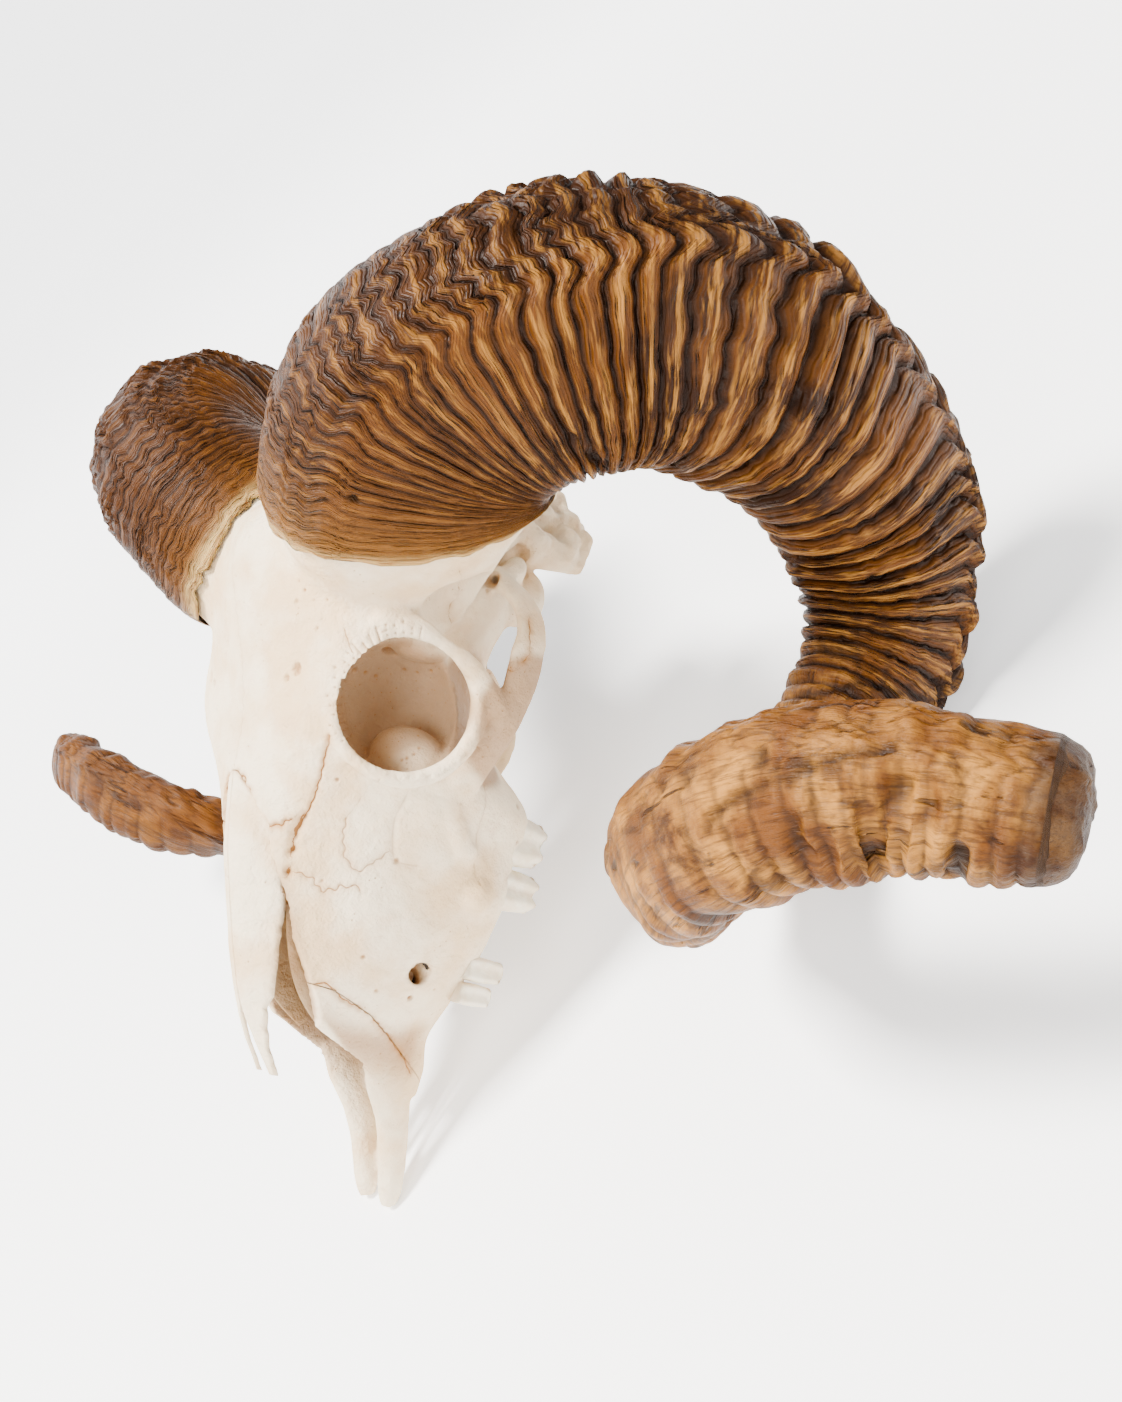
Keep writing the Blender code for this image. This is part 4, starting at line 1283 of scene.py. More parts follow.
@dataclass
class Horn:
    """One horn's sheath: ribbed, keeled, worn towards its end and broken off at the tip."""

    form: HornForm
    around: int = 144
    rib_steps: tuple = (3.4, 5.0, 7.0, 8.6, 8.8, 8.4, 8.0)
    rib_heights: tuple = (0.35, 0.85, 1.9, 2.9, 3.0, 2.5, 2.0)
    ribbed: float = 0.54
    rib_power: float = 2.3
    wall: float = 2.6
    sleeve: float = 16.0
    seed: int = 7
    first_angle: float = 230.0
    # Sizes of the relief in mm
    bead_size: float = 7.0
    rough_size: float = 3.2
    knob_size: float = 15.0
    lump_size: float = 6.0
    fibre_size: float = 2.4
    lip_reach: float = 10.0
    foot_reach: float = 75.0
    break_mark: float = 0.85
    # Size and distance ahead of the last full ring, in mm, of the rings that close a broken end
    closing: tuple = ((0.97, 1.6), (0.91, 3.6), (0.82, 5.4), (0.66, 7.0), (0.44, 7.8), (0.2, 8.2))

    @property
    def name(self) -> str:
        """Name of the node that this horn stands for."""
        return "horn_" + self.form.side.name.lower()

    def angles(self) -> np.ndarray:
        """Angles of one ring's points, in radians."""
        return np.linspace(0.0, 2.0 * math.pi, self.around, endpoint=False) + math.radians(self.first_angle)

    def runs(self, full: float) -> np.ndarray:
        """Runs of the rows along the horn: close together where the ribs are fine.

        Args:
            full: Length to cover in mm.

        Returns:
            The runs in mm.
        """
        found = [0.0]
        while found[-1] < full:
            near = 1.0 - min(1.0, found[-1] / 260.0)
            found.append(found[-1] + 1.42 - 0.47 * near)
        return np.array(found[:-1] + [full])

    def rib_lines(self, angle: np.ndarray, full: float) -> tuple[np.ndarray, np.ndarray]:
        """Lay the grooves between the ribs.

        Args:
            angle: Angles round the horn.
            full: Length to cover in mm.

        Returns:
            The run of each groove at each angle, and the rib's height after each groove.
        """
        draw = np.random.default_rng(self.seed)
        knots = np.linspace(0.0, self.ribbed * self.form.length, len(self.rib_steps))
        runs = [-6.0]
        heights = [self.rib_heights[0]]
        while runs[-1] < full + 20.0:
            step = np.interp(runs[-1], knots, self.rib_steps)
            rise = np.interp(runs[-1], knots, self.rib_heights)
            runs.append(runs[-1] + step * draw.uniform(0.62, 1.42))
            heights.append(rise * draw.uniform(0.45, 1.3))
        lines = []
        waves = np.zeros(12)
        kinks = np.zeros(10)
        steps = np.diff(runs + [runs[-1] + 10.0])
        for i, run in enumerate(runs):
            waves = 0.55 * waves + 0.45 * draw.normal(0.0, 1.0, 12)
            bend = np.zeros_like(angle)
            for k in range(6):
                wave = waves[2 * k] * np.cos((k + 1) * angle) + waves[2 * k + 1] * np.sin((k + 1) * angle)
                bend += wave / (k + 1.6)
            away = self.form.from_keel(angle)
            front = smooth_step(4.0, -8.0, away) * smooth_step(-125.0, -100.0, away)
            kinks = 0.55 * kinks + 0.45 * draw.normal(0.0, 1.0, 10)
            zigzag = sum(kinks[k] * np.sin((10 + 3 * k) * angle + 1.7 * k) for k in range(10)) / 2.2
            keel = np.exp(-((away - 2.0) / 6.0) ** 2) - 0.25 * np.exp(-((away + 14.0) / 8.0) ** 2)
            lines.append(run + steps[i] * (0.09 * bend + 0.60 * keel + (0.05 + 0.24 * front) * zigzag))
        lines = np.maximum.accumulate(np.array(lines) + np.arange(len(lines))[:, None] * 1e-6, axis=0)
        return lines, np.array(heights)

    def grain(self, run: np.ndarray, angle: np.ndarray) -> np.ndarray:
        """Places on the horn's skin in mm, for patterns that follow it."""
        form = self.form
        reached = np.clip(run / form.length, 0, 1)
        radius = (form.read(form.depth, reached) + form.read(form.width, reached)) / 2.0
        return np.stack([run, radius * np.cos(angle), radius * np.sin(angle)], axis=-1)

    def noise(self, grain: np.ndarray, size: float, step: int) -> np.ndarray:
        """Uneven values of this horn's own, from -1 to 1."""
        return value_noise(grain, size, self.seed + step)

    def surface(self) -> tuple[np.ndarray, dict[str, np.ndarray]]:
        """Work out the sheath's points and the marks for its finish.

        Returns:
            The grid of points, rows along the horn first, and named grids of values.
        """
        form = self.form
        angle = self.angles()
        full = (1.0 - form.start) * form.length
        run = self.runs(full)
        run_grid, angle_grid = np.meshgrid(run, angle, indexing="ij")
        lines, heights = self.rib_lines(angle, full)
        u = np.empty_like(run_grid)
        for j in range(len(angle)):
            u[:, j] = np.interp(run, lines[:, j], np.arange(len(lines)))
        index = np.floor(u).astype(int)
        part = u - index
        height = heights[np.clip(index, 0, len(heights) - 1)]
        body = 1.0 - np.abs(2.0 * part - 1.0) ** self.rib_power
        ring = np.stack([u, np.cos(angle_grid) * 3, np.sin(angle_grid) * 3], -1)
        small = np.abs(np.sin(math.pi * part * 3.0 + 3.0 * self.noise(ring, 1.3, 1)))
        end = smooth_step(self.ribbed - 0.03, self.ribbed + 0.03,
                          run_grid / form.length + 0.02 * np.cos(angle_grid * 2.0))
        away = form.from_keel(angle_grid)
        band = smooth_step(4.0, -6.0, away) * smooth_step(-118.0, -96.0, away)
        grain = self.grain(run_grid, angle_grid)
        by_fours = np.stack([u * 4.0, grain[..., 1], grain[..., 2]], -1)
        beads = self.noise(by_fours, self.bead_size, 2)
        rough = self.noise(grain, self.rough_size, 3)
        crest = np.exp(-((away - 1.0) / 8.0) ** 2) * smooth_step(20.0, 90.0, run_grid)
        lift = height * (1.0 + band * 0.8 * beads + 0.22 * beads + 0.5 * crest)
        ribs = lift * (body * 1.65 - 0.85) + height * 0.16 * (small - 0.5) * body
        ribs += (0.22 * rough * np.minimum(1.0, height) + 0.9 * crest
                 + 0.6 * band * beads * smooth_step(15.0, 70.0, run_grid))
        by_nines = np.stack([u * 9.0, grain[..., 1], grain[..., 2]], -1)
        ribs += 0.35 * height * self.noise(by_nines, 11.0, 9)
        knobs = self.noise(grain, self.knob_size, 4) * 1.2
        knobs += self.noise(grain, self.lump_size, 5) * (0.4 + 0.9 * band)
        fibre = self.noise(grain * (0.08, 1.0, 1.0), self.fibre_size, 6)
        kept = 0.35 + 0.65 * smooth_step(0.2, -0.3, np.cos(angle_grid - 0.4))
        worn = 0.85 * lift * (body - 0.5) * kept + knobs + 0.22 * fibre
        grow = ribs * (1.0 - end) + worn * end
        lip = np.exp(-run_grid / self.lip_reach)
        share = form.shares(run_grid, angle_grid)
        ragged = self.noise(np.stack([angle_grid * 22.0, angle_grid * 0, angle_grid * 0], -1), 2.0, 8)
        share = share + np.exp(-run_grid / 4.0) * (ragged * 2.4 - 1.0) / form.length
        grow = grow - 1.4 * np.exp(-run_grid / 3.0)
        points = form.place(share, angle_grid, 1.0, grow)
        broken = smooth_step(-12.0, 2.0, run_grid - full + 5.0 * knobs)
        marks = {
            "rise": np.clip(body * (1.0 - end) + (0.55 + 0.25 * body + 0.2 * knobs) * end, 0.0, 1.0),
            "ribs": u,
            "tip": end,
            "band": band,
            "foot": np.exp(-(run_grid / self.foot_reach) ** 2) * (1.0 - 0.6 * band),
            "lip": lip,
            "broken": broken * (form.side is Side.LEFT) * self.break_mark,
            "grain": grain,
        }
        return points, marks

    def tip_rows(self) -> list[np.ndarray]:
        """Rings that close the broken end."""
        form = self.form
        angle = self.angles()
        rows = []
        blunt = form.side is Side.LEFT
        depth = float(form.read(form.depth, np.array(1.0)))
        for scale, ahead in self.closing:
            if not blunt:
                ahead = depth * 0.66 * math.sqrt(1.0 - scale ** 2)
            ring = form.place(np.full_like(angle, 1.0 + ahead / form.length), angle, scale)
            if blunt:
                torn = 0.9 * value_noise(ring, 5.0, 31) + 0.5 * value_noise(ring, 2.0, 32)
                ring += form.along[-1] * torn[:, None]
            rows.append(ring)
        return rows

    def build(self, camera: StudioCamera, skull: SkullPlace, finish: bpy.types.Material,
              seams: Sequence[Seam], pits: Sequence[Pit]) -> bpy.types.Object:
        """Make the sheath.

        Args:
            camera: The photograph's camera.
            skull: Where the skull lies.
            finish: Its material.
            seams: Cracks and furrows to cut.
            pits: Holes and dents to sink.

        Returns:
            The piece.
        """
        form = self.form
        points, marks = self.surface()
        angle = self.angles()
        inner = []
        for run in (0.0, self.sleeve * 0.3, self.sleeve):
            share = form.rim(angle) + run / form.length
            inner.append(form.place(share, angle, 1.0, -self.wall if run else -self.wall * 0.6))
        tips = self.tip_rows()
        rows = np.concatenate([np.array(inner[::-1]), points, np.array(tips)])
        n, m = rows.shape[:2]
        faces = ring_faces(n, m)
        flat = rows.reshape(-1, 3)
        low = rows[0].mean(0)
        high = rows[-1].mean(0)
        flat = np.vstack([flat, low, high])
        for k in range(m):
            j = (k + 1) % m
            faces.append((j, k, n * m))
            faces.append(((n - 1) * m + k, (n - 1) * m + j, n * m + 1))
        made = mesh_object("sheath", flat, faces)
        before = len(inner) * m
        after = len(tips) * m + 2
        for name, grid in marks.items():
            if name == "grain":
                body = grid.reshape(-1, 3)
                whole = np.vstack([np.repeat(body[:1], before, 0), body, np.repeat(body[-1:], after, 0)])
                whole[-after:-2, 1:] = flat[-after:-2, 1:]
                set_vector(made.data, "grain", whole)
                continue
            body = grid.ravel()
            tail = self.break_mark if name == "broken" and form.side is Side.LEFT else body[-1]
            ahead = 0.1 if name == "rise" else 0.0
            set_value(made.data, name, np.concatenate([np.full(before, ahead), body, np.full(after, tail)]))
        outward(made)
        made.name = self.form.side.name.lower() + "_horn_sheath"
        if seams or pits:
            chisel = Chisel(made.data, camera)
            for seam in seams:
                chisel.groove(seam)
            for pit in pits:
                chisel.dig(pit)
            chisel.finish()
        if form.side is Side.RIGHT:
            mirror(made)
        return hand_over(made, skull, finish, "horn", self.name)


@dataclass
class SkullBone:
    """The brain case, face and upper jaw, with the front bones that part from it."""

    # Half outlines at stations along Y, from the top middle to the bottom middle
    stations: tuple = (
        (44, ((0, 32), (8, 32), (12, 29), (14, 25), (14.5, 20), (13, 14), (10, 11), (5, 10.5), (0, 10.5))),
        (56, ((0, 52), (10, 51), (15, 46), (17, 38), (17.5, 28), (16, 19), (13, 13), (6, 12), (0, 12))),
        (66, ((0, 70), (12, 69), (18.5, 64), (20, 52), (20, 36), (18.5, 24), (15, 15), (7, 13), (0, 13))),
        (80, ((0, 80), (13, 78), (19.5, 73), (25, 58), (27, 40), (26, 26), (23, 14), (12, 14), (0, 14))),
        (98, ((0, 94), (15, 87), (20, 82), (29, 66), (34, 50), (35, 32), (30, 11), (16, 14), (0, 15))),
        (116, ((0, 101), (16, 95), (22, 89), (32, 72), (37, 55), (41, 26), (34, 9), (17, 14), (0, 15))),
        (134, ((0, 105.5), (17, 101), (28, 93), (37, 78), (43, 60), (45, 42), (35, 9), (17, 14), (0, 15))),
        (150, ((0, 108), (20, 105), (35, 100), (46, 84), (48, 64), (49, 44), (36, 9), (16, 15), (0, 16))),
        (166, ((0, 111), (22, 109), (43, 104), (55, 88), (50, 62), (40, 40), (24, 20), (12, 20), (0, 24))),
        (184, ((0, 116.5), (22, 114), (45, 105), (56, 88), (46, 64), (36, 44), (22, 28), (10, 28), (0, 30))),
        (200, ((0, 122), (22, 119), (44, 106), (50, 86), (42, 65), (38, 48), (24, 32), (10, 30), (0, 30))),
        (216, ((0, 125), (22, 120), (44, 106), (46, 84), (43, 65), (41, 47), (26, 28), (10, 24), (0, 24))),
        (232, ((0, 119), (22, 114), (38, 100), (41, 82), (39, 62), (35, 44), (24, 26), (10, 20), (0, 20))),
        (246, ((0, 100), (18, 96), (32, 84), (38, 70), (37, 55), (33, 40), (24, 24), (10, 16), (0, 16))),
        (258, ((0, 74), (14, 72), (26, 64), (31, 54), (30, 43), (26, 32), (19, 21), (10, 14), (0, 14))),
        (265, ((0, 60), (8, 58), (15, 54), (18, 48), (17, 42), (14, 34), (11, 28), (6, 24), (0, 24))),
    )
    orbit: tuple = (51.0, 170.0, 78.0)
    orbit_normal: tuple = (0.93, -0.05, 0.36)
    orbit_radius: float = 22.0
    orbit_rim: float = 2.9
    opening_edge: tuple = (
        (-5, 30), (40, 28.5), (46, 32), (52, 39), (58, 50), (63, 61), (76, 69), (90, 79), (104, 86),
        (114, 93), (114, 140), (-5, 140),
    )
    front_seam: tuple = ((77, 75), (76, 62), (70, 45), (62, 31), (55, 21), (47, 8), (44, -30))
    step: float = 1.0
    seed: int = 41

    def hull(self) -> bpy.types.Object:
        """The main form, lofted through its stations."""
        half = [np.array([[x, y, z] for x, z in outline]) for y, outline in self.stations]
        table = smooth_line(half, np.linspace(0.0, 1.0, 120))
        rings = []
        for row in table:
            line = smooth_line(row, np.linspace(0.0, 1.0, 45))
            line[0, 0] = line[-1, 0] = 0.0
            rings.append(np.vstack([line, line[1:-1][::-1] * (-1.0, 1.0, 1.0)]))
        return loft("skull", rings)

    def socket_axes(self) -> tuple[Vector, Vector, Vector]:
        """The eye socket's facing direction and two directions across it."""
        normal = Vector(self.orbit_normal).normalized()
        side = normal.cross(Vector((0, 0, 1))).normalized()
        return normal, side, side.cross(normal)

    def orbit_ring(self) -> bpy.types.Object:
        """The raised ring of bone round the left eye socket."""
        normal, side, rise = self.socket_axes()
        rows = []
        corners, turns = 16, 72
        angles = [2.0 * math.pi * c / corners for c in range(corners)]
        for k in range(turns):
            turn = 2.0 * math.pi * k / turns
            spoke = side * math.cos(turn) + rise * math.sin(turn)
            centre = Vector(self.orbit) + spoke * (self.orbit_radius + self.orbit_rim * 0.75)
            rows.append([centre + spoke * math.cos(a) * self.orbit_rim
                         + normal * math.sin(a) * self.orbit_rim * 1.3 for a in angles])
        points = np.array([p[:] for row in rows for p in row])
        return outward(mesh_object("orbit_rim", points, ring_faces(turns, corners, True)))

    def side_forms(self) -> list[bpy.types.Object]:
        """The bones that stand out on the left side, each a closed form."""
        up = (0, 0, 1)
        back = (0, 1, 0)
        return [
            self.orbit_ring(),
            sweep("cheek_arch",
                  [(37, 134, 50), (46, 147, 49), (53, 160, 47), (59, 176, 43.5),
                   (60.5, 192, 42), (59, 207, 41.5), (51, 218, 43), (38, 227, 48)],
                  [(3, 5), (4, 7.5), (3.4, 6.8), (3.0, 6.4), (2.6, 7.2), (2.6, 7.0), (3.2, 6.4), (4, 6.5)],
                  up),
            sweep("bar_behind_eye",
                  [(50, 194, 96), (57, 193, 82), (60.5, 188, 66), (60, 180, 52), (58, 174, 46)],
                  [(6, 5), (4, 3.6), (3.4, 3.4), (4, 4), (5, 4)], (1, 0, 0)),
            sweep("temple_ridge",
                  [(42, 214, 84), (41, 228, 62), (38, 240, 48), (33, 250, 40), (28, 257, 34)],
                  [(5, 5), (4, 5), (4, 5), (4, 6), (4, 5)], up),
            sweep("nape_ridge",
                  [(0, 263, 66), (14, 264, 62), (27, 259, 54), (35, 251, 44), (35, 246, 30), (29, 246, 16)],
                  [(4, 4), (4, 4), (4.5, 4), (5, 4.5), (5, 5), (4, 4)], back),
            ball("condyle", (14, 258, 8), (10, 10, 14), (25, 0, 0)),
            ball("nape_knob", (22, 261, 26), (9, 7, 9)),
            ball("nape_knob_low", (27, 253, 13), (7, 7, 8)),
            ball("nape_knob_high", (28, 257, 38), (6, 6, 7)),
            ball("nape_knob_out", (24, 262, 12), (6, 6, 6)),
            ball("nape_knob_edge", (25, 254.5, 3.5), (5.5, 6, 5.5)),
            ball("nape_knob_top", (22, 270, 17), (5, 4.5, 5)),
            sweep("neck_process", [(33, 244, 34), (31, 246, 22), (28, 248, 10), (25, 248, 0)],
                  [(7, 8), (6, 7), (5, 6), (3, 3.5)], back),
            ball("ear_drum", (27, 226, 26), (9, 11, 9)),
            sweep("ear_tube", [(28, 226, 34), (36, 230, 38), (43, 232, 42)],
                  [(5, 5), (4.5, 4.5), (4, 4)], up),
            sweep("palate_wing",
                  [(15, 158, 18), (15.5, 168, 14), (16, 178, 13), (15, 188, 18), (13, 198, 27)],
                  [(3, 5), (2.4, 7), (2.2, 7), (2.4, 6), (4, 5)], up),
            ball("cheek_knob", (38.5, 117, 26), (6.5, 7, 7)),
            sweep("face_ridge", [(42, 128, 34), (45, 136, 44), (46, 146, 52), (46, 152, 60)],
                  [(3, 4), (4, 4), (4, 4), (4, 4)], up),
        ]

    def late_forms(self) -> list[bpy.types.Object]:
        """Forms of the left side that are added after the hollows are cut."""
        return [
            sweep("front_rod",
                  [(6.8, 6.5, 10.5), (8.0, 13, 12), (9.2, 26, 15.5), (11.2, 40, 21), (13.5, 50, 26),
                   (15, 60, 30)],
                  [(2.6, 2.6), (4.0, 4.4), (3.9, 5.6), (3.4, 7.5), (3.2, 10), (3.2, 10)], (0, 0, 1)),
            sweep("middle_rod",
                  [(5.6, 14, 9.5), (3.6, 24, 10), (2.8, 40, 11.5), (2.8, 54, 13), (2.8, 66, 14)],
                  [(1.6, 1.6), (1.7, 1.7), (1.7, 1.8), (1.8, 2.2), (1.8, 2.4)], (0, 0, 1)),
            ball("tear_bone", (35, 153.5, 62.5), (15.0, 13.0, 12.5), (0, 20, -22)),
            ball("socket_roof", (38, 192, 70), (11, 4, 8), (0, 30, 0)),
        ]

    def horn_core(self, form: HornForm) -> bpy.types.Object:
        """The bony stump on the brow that reaches into a horn."""
        angle = np.linspace(0.0, 2.0 * math.pi, 48, endpoint=False)
        rings = []
        for scale, shift in ((0.50, -56.0), (0.78, -26.0), (0.92, -9.0), (0.93, 3.0), (0.88, 14.0)):
            share = form.start + scale * (form.rim(angle) - form.start) + shift / form.length
            rings.append(form.place(share, angle, scale))
        made = loft("horn_core", rings)
        if form.side is Side.RIGHT:
            mirror(made)
        return made

    def hollows(self) -> list[bpy.types.Object]:
        """What is hollow or open in the skull."""
        forms = []
        inner = []
        for y, top, wide, low in ((30, 60, 11, 17), (60, 84, 15, 19), (80, 92, 20, 20), (100, 98, 25, 22),
                                  (118, 98, 20, 34)):
            inner.append([(-wide, y, low + 8), (-wide * 0.5, y, low), (wide * 0.5, y, low),
                          (wide, y, low + 8), (wide, y, low + 28), (wide * 0.62, y, top),
                          (-wide * 0.62, y, top), (-wide, y, low + 28)])
        forms.append(loft("nose_cavity", inner))
        forms.append(prism("nose_opening", self.opening_edge, -60.0, 60.0))
        forms.append(prism("front_slot", [(-5, -5), (60, -5), (60, 30), (-5, 30)], -5.0, 5.0))
        normal, _, _ = self.socket_axes()
        centre = Vector(self.orbit) - normal * 6.0 + Vector((-0.6, 0.0, 1.6))
        angles = [math.degrees(a) for a in normal.to_track_quat("Z", "Y").to_euler()]
        socket = ball("socket", centre, (23.2, 23.0, 28.0), angles)
        forms += [socket, mirrored(socket)]
        for side in (1, -1):
            forms.append(sweep("cheek_hole", [(side * 38, 80, 31), (side * 27, 90, 37), (side * 20, 98, 42)],
                               [(3.7, 4.0), (3.4, 3.8), (2.6, 3)], (0, 0, 1)))
            forms.append(ball("back_hollow", (side * 60, 205, 66), (16, 14, 19)))
        return forms

    def flare(self, whole: bpy.types.Object, horns: Sequence[HornForm]) -> None:
        """Let the brow rise smoothly into the stumps that carry the horns.

        Args:
            whole: The fused bone.
            horns: Both horns' forms.
        """
        points = points_of(whole.data)
        weight = np.zeros(len(points))
        angle = np.linspace(0.0, 2.0 * math.pi, 40, endpoint=False)
        for form in horns:
            share = form.rim(angle) - 11.0 / form.length
            ring = form.place(share, angle, 0.95) * (float(form.side.value), 1.0, 1.0)
            tree = KDTree(len(ring))
            for i, spot in enumerate(ring):
                tree.insert(spot, i)
            tree.balance()
            gaps = np.array([tree.find(spot)[2] for spot in points])
            weight = np.maximum(weight, smooth_step(23.0, 12.0, gaps))
        group = whole.vertex_groups.new(name="flare")
        for level in np.unique(np.round(weight[weight > 0.02] * 10.0)):
            picked = np.where(np.round(weight * 10.0) == level)[0]
            if level > 0:
                group.add(picked.tolist(), float(level) / 10.0, "REPLACE")
        soften = whole.modifiers.new("flare", "SMOOTH")
        soften.factor = 0.8
        soften.iterations = 90
        soften.vertex_group = "flare"
        bake_modifiers(whole)
        whole.vertex_groups.clear()

    def dress(self, whole: bpy.types.Object, camera: StudioCamera, seams: Sequence[Seam],
              pits: Sequence[Pit]) -> None:
        """Give the fused bone its uneven skin, seams, holes and marks."""
        chisel = Chisel(whole.data, camera, self.seed)
        chisel.refine(seams, pits, 2.6)
        for seam in seams:
            chisel.groove(seam)
        for pit in pits:
            chisel.dig(pit)
        points = chisel.points
        normals = chisel.normals
        rough = 0.45 * value_noise(points, 14.0, self.seed) + 0.14 * value_noise(points, 3.4, self.seed + 1)
        nape = smooth_step(236.0, 250.0, points[:, 1])
        rough = rough + nape * (1.5 * value_noise(points, 6.5, self.seed + 2)
                                + 0.8 * value_noise(points, 3.2, self.seed + 3))
        chisel.points = points + normals * rough[:, None]
        # Painted shade: the inside mark darkens the eye sockets and the inside of the nose.
        normal, _, _ = self.socket_axes()
        inside = np.zeros(len(points))
        for side in (1.0, -1.0):
            away = points * (side, 1.0, 1.0) - np.array(self.orbit)
            depth = away @ np.array(normal)
            flat = np.linalg.norm(away - depth[:, None] * np.array(normal), axis=1)
            inside = np.maximum(inside, smooth_step(25.0, 21.0, flat) * smooth_step(1.0, -12.0, depth))
        roof = np.interp(points[:, 1], [row[0] for row in self.stations],
                         [row[1][0][1] for row in self.stations])
        deep = smooth_step(-4.0, -10.0, points[:, 2] - roof)
        nose = smooth_step(16.0, 12.0, np.abs(points[:, 0]) - 6.0 * deep)
        nose *= smooth_step(120.0, 100.0, points[:, 1])
        nose *= smooth_step(14.0, 26.0, points[:, 2]) * smooth_step(40.0, 62.0, points[:, 1])
        inside = np.maximum(inside * 0.8, nose * 0.8)
        # Painted shade down the tunnel below the eye: the full stain mark turns it nearly black.
        for side in (1.0, -1.0):
            start, end = (np.array((side * x, y, z)) for x, y, z in ((34.0, 84.5, 33.0), (20.0, 98.0, 42.0)))
            share = np.clip((points - start) @ (end - start) / ((end - start) @ (end - start)), 0.0, 1.0)
            gap = np.linalg.norm(points - start - share[:, None] * (end - start), axis=1)
            chisel.stain_and_shade = np.maximum(chisel.stain_and_shade, smooth_step(4.8, 3.4, gap))
        chisel.finish()
        set_value(whole.data, "inside", inside)

    def build(self, camera: StudioCamera, skull: SkullPlace, finish: bpy.types.Material,
              nose: NoseBones, horns: Sequence[HornForm], seams: Sequence[Seam],
              pits: Sequence[Pit]) -> list[bpy.types.Object]:
        """Make the skull's bone and part the two front bones from it.

        Args:
            camera: The photograph's camera.
            skull: Where the skull lies.
            finish: The bone's material.
            nose: The nose bones, which need room.
            horns: Both horns' forms.
            seams: Seams and cracks to cut.
            pits: Holes to sink.

        Returns:
            The pieces.
        """
        left = self.side_forms()
        forms = [self.hull()] + left + [mirrored(form) for form in left]
        forms += [self.horn_core(form) for form in horns]
        whole = join_all("whole", forms)
        fuse(whole, self.step * 1.15, 2)
        hollows = self.hollows()
        cut(whole, hollows)
        drop(hollows)
        late = self.late_forms()
        whole = join_all("whole", [whole] + late + [mirrored(form) for form in late])
        fuse(whole, self.step, 3)
        self.flare(whole, horns)
        self.dress(whole, camera, seams, pits)
        marks = {name: np.empty(len(whole.data.vertices), np.float32)
                 for name in ("stain_and_shade", "seam", "near", "line", "inside")}
        for name, values in marks.items():
            whole.data.attributes[name].data.foreach_get("value", values)
        tree = KDTree(len(whole.data.vertices))
        for i, spot in enumerate(points_of(whole.data)):
            tree.insert(spot, i)
        tree.balance()
        made = []
        front = list(self.front_seam) + [(-20, -30), (-20, 75)]
        for side in Side:
            name = "premaxilla_" + side.name.lower()
            piece = whole.copy()
            piece.data = whole.data.copy()
            piece.name = side.name.lower() + "_front_bone"
            bpy.context.scene.collection.objects.link(piece)
            region = prism(name + "_region", front, side.value * GAP / 2.0, side.value * 30.0)
            cut(piece, [region], "INTERSECT")
            drop([region])
            keep_largest(piece)
            made.append((piece, name))
        back = [(y + GAP if y < 78 and z > -30 else y + GAP, z) for y, z in self.front_seam]
        rooms = [prism("front_room", back + [(-20, -30), (-20, 75)], -60.0, 60.0), nose.room()]
        cut(whole, rooms)
        drop(rooms)
        keep_largest(whole)
        whole.name = "skull_bone"
        made.append((whole, "cranium"))
        for piece, _ in made:
            spots = points_of(piece.data)
            nearest = np.array([tree.find(spot)[1] for spot in spots])
            for name, values in marks.items():
                set_value(piece.data, name, values[nearest])
        return [hand_over(piece, skull, finish, "bone", name) for piece, name in made]


